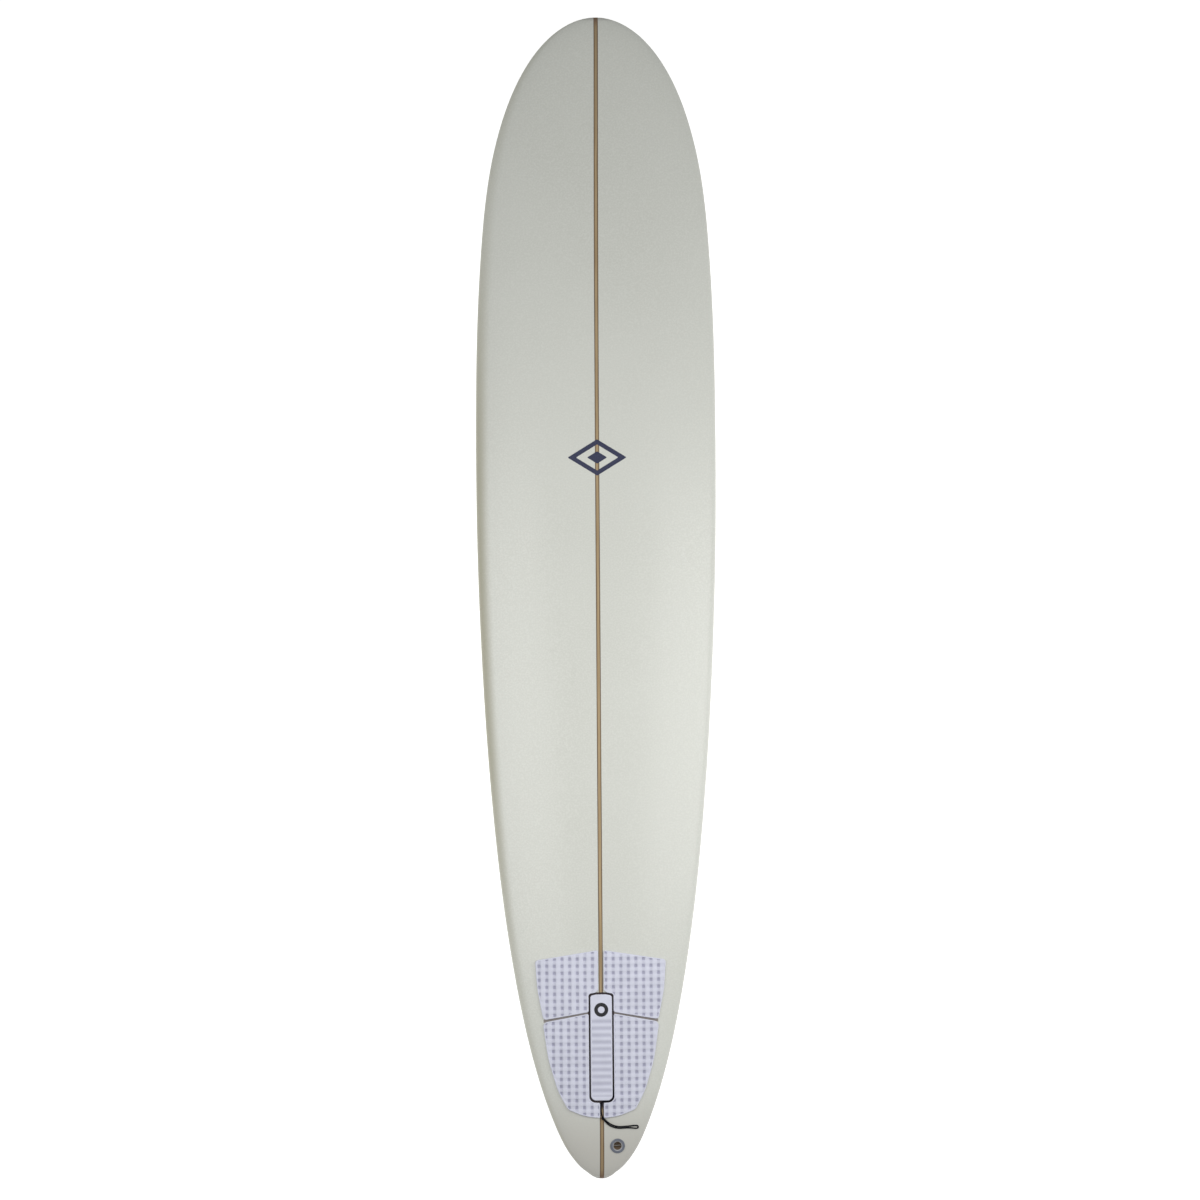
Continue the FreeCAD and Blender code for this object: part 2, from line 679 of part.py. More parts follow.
def lozenge(name, width, length):
    corners = [(0.0, -length / 2, 1.5), (width / 2, 0.0, 1.5), (0.0, length / 2, 1.5), (-width / 2, 0.0, 1.5)]
    placed_corners = [(x, y + size("emblem_y"), r) for x, y, r in corners]
    return prism(name, placed_corners, PAD_LOW, PAD_HIGH)


emblem_ratio = size("emblem_width") / size("emblem_length")
frame_step = size("emblem_line") * 2
emblem_outer = lozenge("emblem_outer", size("emblem_width"), size("emblem_length"))
emblem_window = lozenge("emblem_window", size("emblem_width") - frame_step * emblem_ratio * 1.35,
                        size("emblem_length") - frame_step * 1.35)
emblem_layer = deck_layer("emblem_layer", size("decal_gap"), size("decal_gap") + size("decal_thickness"),
                          (-80.0, 80.0), (size("emblem_y") - 50.0, size("emblem_y") + 50.0))
emblem_core = lozenge("emblem_core", size("emblem_width") * 0.34, size("emblem_length") * 0.34)
piece("deck_emblem", common("deck_emblem_common", emblem_layer,
                            cut("emblem_ring", emblem_outer, emblem_window)))
piece("deck_emblem_core", common("deck_emblem_core_common", emblem_layer, emblem_core))


# ---------------------------------------------------------------- leash plug

plug_flange = add("Part::Cylinder", "plug_flange", Radius=cell("plug_flange_radius"),
                  Height=cell("plug_flange_thickness"))
placed(plug_flange, PLUG_FRAME, z=size("decal_gap"))
plug_body = add("Part::Cylinder", "plug_body", Radius=cell("plug_body_radius"),
                Height=plus(cell("plug_depth"), (EMBEDDED, f"{EMBEDDED}")))
placed(plug_body, PLUG_FRAME, z=-size("plug_depth"))
plug_bore = add("Part::Cylinder", "plug_bore", Radius=cell("plug_bore_radius"), Height=cell("plug_bore_depth"))
placed(plug_bore, PLUG_FRAME, z=-size("plug_bore_depth"))
plug_funnel = add("Part::Cone", "plug_funnel", Radius1=cell("plug_bore_radius"),
                  Radius2=cell("plug_mouth_radius"),
                  Height=plus(plus(cell("plug_flange_thickness"), cell("plug_bore_top")), cell("decal_gap")))
placed(plug_funnel, PLUG_FRAME, z=-size("plug_bore_top"))
plug_bowl = add("Part::Sphere", "plug_bowl", Radius=cell("plug_bore_radius"))
placed(plug_bowl, PLUG_FRAME, z=-size("plug_bore_depth"))
bar_hole = add("Part::Cylinder", "plug_bar_hole", Radius=plus(cell("plug_bar_radius"), (0.02, "0.02")),
               Height=cell("plug_bar_length"))
plug_bar = add("Part::Cylinder", "plug_bar", Radius=cell("plug_bar_radius"), Height=cell("plug_bar_length"))
for bar in (bar_hole, plug_bar):
    placed(bar, PLUG_FRAME, x=-size("plug_bar_length") / 2, z=-size("plug_bar_depth"),
           turn=Rotation(Vector(0, 1, 0), 90))
plug_outside = fuse("plug_outside", plug_flange, plug_body)
piece("leash_cup", cut("leash_cup_cut", plug_outside, plug_bore, plug_bowl, plug_funnel, bar_hole))
piece("leash_cup_bar", plug_bar)


# ---------------------------------------------------------------- leash string

CORD_LIFT = 1.8  # a strand's centre line above the deck
CORD_ROUTE = [  # x, y, height above the deck: tucked round the bar, down the slot, out and back as a loop
    (27.9, -1150.5, CORD_LIFT), (27.1, -1164.0, CORD_LIFT), (27.6, -1177.6, CORD_LIFT),
    (19.6, -1186.3, CORD_LIFT), (-2.4, -1186.2, CORD_LIFT), (-2.6, -1207.6, CORD_LIFT),
    (-0.9, -1219.0, CORD_LIFT), (4.4, -1230.4, CORD_LIFT), (13.0, -1240.2, CORD_LIFT),
    (23.8, -1246.9, CORD_LIFT), (37.6, -1250.6, CORD_LIFT), (52.0, -1250.2, CORD_LIFT),
    (64.0, -1249.5, CORD_LIFT), (75.5, -1251.0, CORD_LIFT), (86.0, -1252.0, CORD_LIFT),
    (86.2, -1245.0, CORD_LIFT), (75.5, -1244.7, CORD_LIFT), (64.0, -1245.9, CORD_LIFT),
    (52.0, -1246.6, CORD_LIFT), (38.2, -1247.0, CORD_LIFT), (25.0, -1243.1, 2.6),
    (14.0, -1236.4, 3.9), (7.4, -1230.0, 4.9), (2.8, -1226.4, 5.1),
]
KNOT_PLACE = (1.6, -1226.8, 3.6)


def over_deck(x, y, lift):
    return Vector(x, y, deck_height(x, y) + lift)


def cord_radii(points):
    """The largest arc that each corner's two runs leave room for."""
    radii = [0.0]
    for before, here, after in zip(points, points[1:], points[2:]):
        turn = math.pi - (before - here).getAngle(after - here)
        shorter = min((here - before).Length, (after - here).Length)
        radii.append(0.45 * shorter / math.tan(turn / 2))
    return radii + [0.0]


cord_points = [over_deck(*place) for place in CORD_ROUTE]
cord_bends = cord_radii(cord_points)
print("cord arc radii:", [round(r, 1) for r in cord_bends[1:-1]])
cord_path = Part.Wire(rounded_edges(cord_points, cord_bends, False))
cord_line = surface_feature("leash_string_path", cord_path)
cord_ring = add("Part::Circle", "leash_string_section", Radius=half("cord_diameter"))
cord_ring.Placement = Placement(cord_points[0], Rotation(Vector(0, 0, 1), cord_points[1] - cord_points[0]))
cord_tube = doc.addObject("Part::Sweep", "leash_string_tube")
cord_tube.Sections = [cord_ring]
cord_tube.Spine = (cord_line, [f"Edge{i + 1}" for i in range(len(cord_path.Edges))])
cord_tube.Solid = True
cord_tube.Frenet = False
piece("leash_string", cord_tube)

knot = add("Part::Ellipsoid", "leash_string_knot_ball", Radius1=cell("knot_height"), Radius2=cell("knot_radius"),
           Radius3=cell("knot_radius"))
knot.Angle1, knot.Angle2, knot.Angle3 = -90.0, 90.0, 360.0
knot.Placement.Base = over_deck(*KNOT_PLACE)
piece("leash_string_knot", knot)


# ---------------------------------------------------------------- fins

def foil_half(share):
    """Half-thickness of a fin's foil along its chord, as a share of its largest, from the leading edge."""
    return 1.9 * (1.4845 * math.sqrt(share) - 0.63 * share - 1.758 * share ** 2 + 1.4215 * share ** 3
                  - 0.5075 * share ** 4) / 0.95


def fin_section(base, height, rake, thickness, depth_share, inner_share, side):
    """One cross-section of a fin's blade at a share of its height, below the box's face."""
    chord = base * math.sqrt(1 - depth_share ** 2.4) * (1 - 0.22 * depth_share)
    front = base / 2 - rake * depth_share ** 1.5 - (base - chord) * 0.42
    width = thickness * (chord / base) ** 0.8
    tail_half = 0.35
    outer, inner = [], []
    for i in range(13):
        share = (1 - math.cos(math.pi * i / 12)) / 2
        half_width = width / 2 * foil_half(share) + tail_half * share
        y = front - chord * share
        outer.append(Vector(side * half_width, y, -height * depth_share))
        inner.append(Vector(-side * (half_width * inner_share + 0.02 * share), y, -height * depth_share))
    edges = []
    for points in (outer, inner[::-1]):
        curve = Part.BSplineCurve()
        curve.interpolate(points)
        edges.append(curve.toShape())
    edges.insert(1, Part.makeLine(outer[-1], inner[-1]))
    return Part.Wire(edges)


DEPTH_SHARES = (0.0, 0.12, 0.25, 0.4, 0.55, 0.68, 0.79, 0.88, 0.94, 0.975, 0.992)


def fin_blade(name, frame, base, height, rake, thickness, inner_share, side):
    """A foiled fin blade, lofted through its sections."""
    sections = []
    for i, share in enumerate(DEPTH_SHARES):
        wire = fin_section(base, height, rake, thickness, share, inner_share, side)
        sections.append(surface_feature(f"{name}_section_{i}", wire))
        sections[-1].Placement = frame
    blade = doc.addObject("Part::Loft", f"{name}_blade")
    blade.Sections = sections
    blade.Solid = True
    return blade


def corner_box(name, frame, x_range, y_range, z_range):
    """A box between bound limits in a frame."""
    made = doc.addObject("Part::Box", name)
    bind(made, Length=plus(x_range[1], minus(x_range[0])), Width=plus(y_range[1], minus(y_range[0])),
         Height=plus(z_range[1], minus(z_range[0])))
    return placed(made, frame, x_range[0][0], y_range[0][0], z_range[0][0])


# centre fin box, built face down: its open face is Z 0 and the box goes up into the board
box_body = new_body("center_fin_box", BOX_FRAME)
box_ends = half("fin_box_length")
box_outline = sketch(box_body, "box_outline", "XY_Plane",
                     rectangle(minus(box_ends), box_ends, cell("fin_box_width")))
pad_up(box_body, "box_block", box_outline, cell("fin_box_depth"))
slot_ends = half("fin_slot_length")
slot_outline = sketch(box_body, "slot_outline", "XY_Plane",
                      rectangle(minus(slot_ends), slot_ends, cell("fin_slot_width")))
pocket_up(box_body, "box_slot", slot_outline, cell("fin_slot_depth"))
entry_front = slot_ends
entry_back = plus(slot_ends, minus(cell("entry_length")))
entry_outline = sketch(box_body, "entry_outline", "XY_Plane",
                       rectangle(entry_back, entry_front, cell("channel_width")))
pocket_up(box_body, "box_entry", entry_outline, cell("channel_high"))
doc.recompute()
channel = corner_box("box_channel", BOX_FRAME,
                     (minus(half("channel_width")), half("channel_width")), (minus(slot_ends), slot_ends),
                     (cell("channel_low"), cell("channel_high")))
piece("center_fin_box", cut("center_fin_box_cut", box_body, channel))

# centre fin: blade below the face, tongue above it, low ear in front for the screw
FIN_FRAME = BOX_FRAME * Placement(Vector(0, size("fin_offset"), 0), Rotation())
FIN_GAP = 0.5  # blade's root below the box's face
fin_front, fin_back = half("fin_base"), minus(half("fin_base"))
ear_back = plus(fin_front, minus(cell("ear_length")))
tab_sides = (minus(half("tab_thickness")), half("tab_thickness"))
blade_frame = FIN_FRAME * Placement(Vector(0, 0, -size("fin_box_recess") - FIN_GAP), Rotation())
center_blade = fin_blade("center_fin", blade_frame, size("fin_base"), size("fin_height"), size("fin_rake"),
                         size("fin_thickness"), 1.0, 1)
root = (-2 * FIN_GAP - size("fin_box_recess"), f"-{2 * FIN_GAP} - Sizes.fin_box_recess")
center_tab = corner_box("center_fin_tongue", FIN_FRAME, tab_sides,
                        (plus(fin_back, (3.0, "3")), ear_back), (root, cell("tab_depth")))
center_ear = corner_box("center_fin_ear", FIN_FRAME, tab_sides,
                        (plus(ear_back, (-EMBEDDED, f"-{EMBEDDED}")), plus(fin_front, (-4.0, "-4"))),
                        (cell("ear_low"), cell("ear_high")))
center_step = corner_box("center_fin_step", FIN_FRAME, tab_sides,
                         (plus(ear_back, (-EMBEDDED, f"-{EMBEDDED}")), plus(ear_back, (3.0, "3"))),
                         (root, cell("ear_high")))
SCREW_Y = size("fin_base") / 2 - 4.0 - 7.5
screw_hole = add("Part::Cylinder", "fin_screw_hole",
                 Radius=plus(cell("screw_radius"), cell("screw_clearance")), Height=cell("ear_high"))
placed(screw_hole, FIN_FRAME, y=SCREW_Y, z=0.0)
screw_room = add("Part::Cylinder", "fin_screw_room",
                 Radius=plus(cell("screw_head_radius"), (0.5, "0.5")), Height=cell("ear_low"))
placed(screw_room, FIN_FRAME, y=SCREW_Y, z=0.0)
PIN_Y = -size("fin_base") / 2 + size("pin_inset")
PIN_Z = (size("channel_low") + size("channel_high")) / 2


def cross_pin(name):
    made = add("Part::Cylinder", name, Radius=cell("pin_radius"), Height=cell("pin_length"))
    return placed(made, FIN_FRAME, -size("pin_length") / 2, PIN_Y, PIN_Z, Rotation(Vector(0, 1, 0), 90))


center_outside = fuse("center_fin_outside", center_blade, center_tab, center_ear, center_step)
piece("center_fin", cut("center_fin_cut", center_outside, screw_hole, cross_pin("fin_pin_hole")))
piece("center_fin_pin", cross_pin("fin_pin"))

plate_block = corner_box("plate_block", FIN_FRAME,
                         (minus(half("plate_width")), half("plate_width")),
                         ((SCREW_Y - size("plate_length") / 2, f"{SCREW_Y} - Sizes.plate_length / 2"),
                          (SCREW_Y + size("plate_length") / 2, f"{SCREW_Y} + Sizes.plate_length / 2")),
                         (plus(cell("channel_low"), (0.05, "0.05")),
                          plus(cell("channel_low"), plus((0.05, "0.05"), cell("plate_thickness")))))
plate_hole = add("Part::Cylinder", "plate_hole",
                 Radius=plus(cell("screw_radius"), cell("screw_clearance")), Height=cell("fin_slot_depth"))
placed(plate_hole, FIN_FRAME, y=SCREW_Y, z=0.0)
piece("center_fin_plate", cut("center_fin_plate_cut", plate_block, plate_hole))

# fin screw: its head bears on the ear's outer side
SCREW_FRAME = FIN_FRAME * Placement(Vector(0, SCREW_Y, size("ear_low") - 0.05), Rotation())
screw_body = new_body("center_fin_screw", SCREW_FRAME)
head_bottom = minus(cell("screw_head_thickness"))
screw_profile = sketch(screw_body, "screw_profile", "XZ_Plane", [
    (ZERO, head_bottom), (cell("screw_head_radius"), head_bottom), (cell("screw_head_radius"), ZERO),
    (cell("screw_radius"), ZERO), (cell("screw_radius"), cell("screw_length")), (ZERO, cell("screw_length"))])
screw_turned = screw_body.newObject("PartDesign::Revolution", "screw_turned")
screw_turned.Profile = screw_profile
screw_turned.ReferenceAxis = (screw_profile, ["V_Axis"])
screw_turned.Angle = 360.0
doc.recompute()
driver_slot = corner_box("driver_slot", SCREW_FRAME,
                         (minus(cell("screw_head_radius")), cell("screw_head_radius")),
                         (minus(half("screw_slot_width")), half("screw_slot_width")),
                         (head_bottom, plus(head_bottom, cell("screw_slot_depth"))))
piece("center_fin_screw", cut("center_fin_screw_cut", screw_body, driver_slot))


# ---------------------------------------------------------------- side fins

def side_fin_set(side, word):
    """Box, fin and grub screw of one side."""
    frame = side_frame(side)
    box = new_body(f"side_box_body_{word}", frame)
    ends = half("side_box_length")
    outline = sketch(box, f"side_box_outline_{word}", "XY_Plane",
                     rectangle(minus(ends), ends, cell("side_box_width")))
    pad_up(box, f"side_box_block_{word}", outline, cell("side_box_depth"))
    back, front = minus(cell("side_slot_back")), cell("side_slot_front")
    slot = sketch(box, f"side_slot_outline_{word}", "XY_Plane", rectangle(back, front, cell("side_slot_width")))
    pocket_up(box, f"side_slot_{word}", slot, cell("side_slot_depth"))
    hole = circle_sketch(box, f"grub_hole_outline_{word}", "XY_Plane", ZERO, cell("grub_y"),
                         cell("grub_hole_radius"))
    pocket_up(box, f"grub_hole_{word}", hole, cell("grub_hole_depth"))
    piece(f"side_fin_box_{word}", box)

    gap = cell("side_tab_gap")
    tab_back, tab_front = plus(back, gap), plus(front, minus(times(gap, 1.5)))
    middle = (front[0] + back[0]) / 2
    blade_at = frame * Placement(Vector(0, middle, -size("side_box_recess") - FIN_GAP), Rotation())
    base = front[0] - back[0] - 4.0
    blade = fin_blade(f"side_fin_{word}", blade_at, base, size("side_fin_height"), size("side_fin_rake"),
                      size("side_fin_thickness"), 0.12, side)
    low = (-2 * FIN_GAP - size("side_box_recess"), f"-{2 * FIN_GAP} - Sizes.side_box_recess")
    tab = corner_box(f"side_fin_tongue_{word}", frame,
                     (minus(half("side_tab_thickness")), half("side_tab_thickness")),
                     (tab_back, tab_front), (ZERO, cell("side_tab_depth")))
    # the tongue's outer end is as thin as the blade's root, so that no shoulder shows below the box
    neck = corner_box(f"side_fin_neck_{word}", frame,
                      (minus(times(cell("side_fin_thickness"), 0.1)), times(cell("side_fin_thickness"), 0.1)),
                      (plus(tab_back, (12.0, "12")), plus(tab_front, (-4.0, "-4"))), (low, (EMBEDDED, f"{EMBEDDED}")))
    piece(f"side_fin_{word}", fuse(f"side_fin_{word}_solid", blade, tab, neck))

    grub_frame = frame * Placement(Vector(0, size("grub_y"), size("grub_recess")), Rotation())
    grub = new_body(f"grub_body_{word}", grub_frame)
    rim = circle_sketch(grub, f"grub_outline_{word}", "XY_Plane", ZERO, ZERO, cell("grub_radius"))
    pad_up(grub, f"grub_block_{word}", rim, cell("grub_length"))
    key = cell("grub_key_radius")
    hexagon = [(times(key, round(math.cos(math.radians(60 * i)), 6)),
                times(key, round(math.sin(math.radians(60 * i)), 6))) for i in range(6)]
    socket = sketch(grub, f"grub_key_outline_{word}", "XY_Plane", hexagon)
    pocket_up(grub, f"grub_key_{word}", socket, cell("grub_key_depth"))
    piece(f"side_fin_screw_{word}", grub)


for side, word in ((-1, "left"), (1, "right")):
    side_fin_set(side, word)


# ---------------------------------------------------------------- checks and export

doc.recompute()
for thing in doc.Objects:
    bad = [state for state in thing.State if state in ("Invalid", "Error")]
    if bad:
        raise RuntimeError(f"{thing.Name} failed: {bad}")

os.makedirs("parts", exist_ok=True)
for node, thing in PARTS.items():
    shape = thing.Shape
    if shape.isNull() or not shape.isValid():
        raise RuntimeError(f"{node} has no valid shape")
    if len(shape.Solids) != 1:
        raise RuntimeError(f"{node} has {len(shape.Solids)} solids")
    shape.exportStep(f"parts/{node}.step")
    box = shape.BoundBox
    print(f"{node:24s} {shape.Volume / 1000:10.2f} cm3  x {box.XMin:8.1f} {box.XMax:8.1f}"
          f"  y {box.YMin:8.1f} {box.YMax:8.1f}  z {box.ZMin:7.1f} {box.ZMax:7.1f}")

cord_volume = math.pi * (size("cord_diameter") / 2) ** 2 * cord_path.Length
print(f"leash string: {cord_path.Length:.1f} mm long, volume {cord_tube.Shape.Volume:.0f}"
      f" against {cord_volume:.0f} mm3")
low_point = min(thing.Shape.BoundBox.ZMin for thing in PARTS.values())
print(f"lowest point {low_point:.2f}")
for name, frame in (("plug", PLUG_FRAME), ("box", BOX_FRAME), ("screw", SCREW_FRAME),
                    ("left", side_frame(-1)), ("right", side_frame(1))):
    turn = frame.Rotation
    print(name, "at", [round(c, 3) for c in frame.Base], "y", [round(c, 5) for c in turn.multVec(Vector(0, 1, 0))],
          "z", [round(c, 5) for c in turn.multVec(Vector(0, 0, 1))])
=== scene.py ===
import math

import bmesh
import bpy
import numpy as np
from mathutils import Matrix, Vector
from mathutils.geometry import delaunay_2d_cdt


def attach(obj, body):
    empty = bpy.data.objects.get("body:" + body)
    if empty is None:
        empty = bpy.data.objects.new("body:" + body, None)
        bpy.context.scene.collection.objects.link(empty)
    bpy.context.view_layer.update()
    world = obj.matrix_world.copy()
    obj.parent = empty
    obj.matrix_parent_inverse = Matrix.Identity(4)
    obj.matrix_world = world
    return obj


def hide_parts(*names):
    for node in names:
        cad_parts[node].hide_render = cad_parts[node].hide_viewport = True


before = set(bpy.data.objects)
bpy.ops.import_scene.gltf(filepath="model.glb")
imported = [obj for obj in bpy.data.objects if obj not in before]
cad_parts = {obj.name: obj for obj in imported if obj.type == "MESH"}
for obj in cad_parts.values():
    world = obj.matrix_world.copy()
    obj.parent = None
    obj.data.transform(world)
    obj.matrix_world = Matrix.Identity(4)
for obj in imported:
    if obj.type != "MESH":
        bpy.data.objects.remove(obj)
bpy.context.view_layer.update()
MM = 0.001

# ------------------------------------------------------------------ the board's form, as in the CAD (mm)

INCH = 25.4
HALF_LENGTH = 1371.6
BASE_HEIGHT = 134.48
THICKNESS = 73.0
THINNER_AT_NOSE, THINNER_AT_TAIL = 0.58, 0.50  # shares of the thickness lost at the tips
NOSE_ROCKER, TAIL_ROCKER, ROCKER_POWER = 115.0, 57.0, 2.6
SHARE_ABOVE, SHARE_BELOW = 0.58, 0.42  # of the thickness, above and below the rail line
TIP_POWER = 20  # how late the ends round off
# inches from the nose, and the full width there
WIDTHS = [(1, 161), (6, 370), (12, 476), (24, 550), (36, 569), (54, 560), (72, 509), (84, 444), (96, 332),
          (102, 239), (106, 138), (107, 93), (107.5, 60)]
ANGLES = np.array([math.acos(1 - inches * INCH / HALF_LENGTH) for inches, _ in WIDTHS])
FULLNESS = np.array([width for _, width in WIDTHS]) / 2 / np.sin(ANGLES)


def fullness_slopes():
    """Slope of the fullness at each width, for a smooth curve through them."""
    gaps, rises = np.diff(ANGLES), np.diff(FULLNESS) / np.diff(ANGLES)
    slopes = np.zeros(len(ANGLES))
    slopes[1:-1] = (rises[:-1] * gaps[1:] + rises[1:] * gaps[:-1]) / (gaps[:-1] + gaps[1:])
    return slopes


SLOPES = fullness_slopes()


def fullness(angle):
    """Half-width over the sine of the angle, so that the outline is an ellipse where it is constant."""
    angle = np.clip(angle, ANGLES[0], ANGLES[-1])
    i = np.clip(np.searchsorted(ANGLES, angle, side="right") - 1, 0, len(ANGLES) - 2)
    span = ANGLES[i + 1] - ANGLES[i]
    u = (angle - ANGLES[i]) / span
    return (FULLNESS[i] * (1 + 2 * u) * (1 - u) ** 2 + SLOPES[i] * span * u * (1 - u) ** 2
            + FULLNESS[i + 1] * u * u * (3 - 2 * u) + SLOPES[i + 1] * span * u * u * (u - 1))


def section(y, inset=0.0):
    """Rail height, half-width, rise, fall and the two section powers along the board."""
    along = np.clip(y / (HALF_LENGTH - inset), -1, 1)
    angle = np.arccos(along)
    half_width = np.maximum(0.001, np.sin(angle) * (fullness(angle) - inset))
    plain = np.clip(y / HALF_LENGTH, -1, 1)

    def thickness(a):
        return THICKNESS * (1 - np.where(a > 0, THINNER_AT_NOSE, THINNER_AT_TAIL) * a * a)

    rounding = np.sqrt(np.maximum(0, 1 - np.abs(along) ** TIP_POWER))
    plain_rounding = np.sqrt(np.maximum(0, 1 - np.abs(plain) ** TIP_POWER))
    planing = BASE_HEIGHT + np.where(plain > 0, NOSE_ROCKER, TAIL_ROCKER) * np.abs(plain) ** ROCKER_POWER
    rail = planing + SHARE_BELOW * thickness(plain) * np.where(plain < 0, plain_rounding, 1.0)
    above = (SHARE_ABOVE * thickness(along) - inset) * rounding
    below = (SHARE_BELOW * thickness(along) - inset) * rounding
    return rail, half_width, above, below, 2 + 0.8 * (1 - along ** 2), 2 + 8 * (1 - along ** 4)


def deck_height(x, y, inset=0.0):
    rail, half_width, above, _, power, _ = section(np.asarray(y, float), inset)
    return rail + above * np.sqrt(np.maximum(0, 1 - np.minimum(1, np.abs(x) / half_width) ** power))


def bottom_height(x, y, inset=0.0):
    rail, half_width, _, below, _, power = section(np.asarray(y, float), inset)
    return rail - below * np.sqrt(np.maximum(0, 1 - np.minimum(1, np.abs(x) / half_width) ** power))


def surface_frame(x, y, height_of, into_board=0.0, turn=0.0):
    """Matrix in metres: Z along the surface's upward normal, Y along the board."""
    slope_x = height_of(x + 1, y) - height_of(x - 1, y)
    slope_y = height_of(x, y + 1) - height_of(x, y - 1)
    up = Vector((-slope_x / 2, -slope_y / 2, 1)).normalized()
    along = Vector((0, 1, slope_y / 2))
    across = along.cross(up).normalized()
    along = up.cross(across)
    place = Vector((x, y, float(height_of(x, y)))) + up * into_board
    basis = Matrix((across, along, up)).transposed().to_4x4()
    return Matrix.Translation(place * MM) @ basis @ Matrix.Rotation(math.radians(turn), 4, "Z")


# ------------------------------------------------------------------ mesh helpers

def new_mesh(name, verts_mm, faces, material, body="board", sharp=40.0, shade=None):
    """A smooth-shaded piece from points in mm; edges sharper than the angle stay crisp."""
    mesh = bpy.data.meshes.new(name)
    verts = [tuple(v) for v in np.asarray(verts_mm) * MM]
    mesh.from_pydata(verts, [], [list(map(int, f)) for f in faces])
    if shade is not None:
        mesh.attributes.new("shade", "FLOAT", "POINT").data.foreach_set("value", shade)
    mesh.validate()
    piece = bpy.data.objects.new(name, mesh)
    bpy.context.scene.collection.objects.link(piece)
    mesh.materials.append(material)
    tidy_mesh(piece, sharp)
    if body:
        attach(piece, body)
    return piece


def tidy_mesh(piece, sharp):
    """Joins double points, turns faces outward, and smooths all but the sharp edges."""
    bm = bmesh.new()
    bm.from_mesh(piece.data)
    bmesh.ops.remove_doubles(bm, verts=bm.verts, dist=1e-6)
    bmesh.ops.recalc_face_normals(bm, faces=bm.faces)
    for face in bm.faces:
        face.smooth = True
    for edge in bm.edges:
        edge.smooth = len(edge.link_faces) == 2 and edge.calc_face_angle(0.0) < math.radians(sharp)
    bm.to_mesh(piece.data)
    bm.free()


def grid_faces(rows, columns, start=0, flip=False):
    """Quads of a grid whose points run along each row in turn."""
    faces = []
    for i in range(rows - 1):
        for j in range(columns - 1):
            a = start + i * columns + j
            quad = [a, a + 1, a + columns + 1, a + columns]
            faces.append(quad[::-1] if flip else quad)
    return faces


def lathe(name, profile, place, material, body="board", segments=96, sharp=40.0):
    """A turned piece: profile is (radius, height) in mm from the axis to the axis, or a closed ring."""
    closed = profile[0] == profile[-1]
    points = profile[:-1] if closed else profile
    verts, faces = [], []
    for k in range(segments):
        a = 2 * math.pi * k / segments
        verts += [(r * math.cos(a), r * math.sin(a), z) for r, z in points]
    n = len(points)
    for k in range(segments):
        a, b = k * n, (k + 1) % segments * n
        for i in range(n if closed else n - 1):
            j = (i + 1) % n
            faces.append([a + i, b + i, b + j, a + j])
    piece = new_mesh(name, verts, faces, material, None, sharp)
    piece.data.transform(place)
    if body:
        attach(piece, body)
    return piece


def boolean_cut(piece, cutters, sharp=40.0):
    """Cuts the pieces out of a shell, then removes them."""
    for cutter in cutters:
        modifier = piece.modifiers.new("cut", "BOOLEAN")
        modifier.operation, modifier.solver, modifier.object = "DIFFERENCE", "EXACT", cutter
    bpy.context.view_layer.update()
    evaluated = piece.evaluated_get(bpy.context.evaluated_depsgraph_get())
    cut_mesh = bpy.data.meshes.new_from_object(evaluated)
    piece.modifiers.clear()
    piece.data = cut_mesh
    for cutter in cutters:
        bpy.data.objects.remove(cutter)
    tidy_mesh(piece, sharp)


def block(name, place, size_mm):
    """A plain box round the origin of a place, used only to cut with."""
    half_x, half_y, half_z = (size / 2 for size in size_mm)
    verts = [(x, y, z) for x in (-half_x, half_x) for y in (-half_y, half_y) for z in (-half_z, half_z)]
    faces = [(0, 1, 3, 2), (4, 6, 7, 5), (0, 4, 5, 1), (2, 3, 7, 6), (0, 2, 6, 4), (1, 5, 7, 3)]
    made = new_mesh(name, verts, faces, blank_material, None)
    made.data.transform(place)
    return made


# ------------------------------------------------------------------ places that shapes and materials share (mm)

PLUG_X, PLUG_Y = 36.7, -1292.5
SEAM_SLOPE = 0.182  # the seam between front and rear pads runs back by this much for each mm outward


# ------------------------------------------------------------------ materials

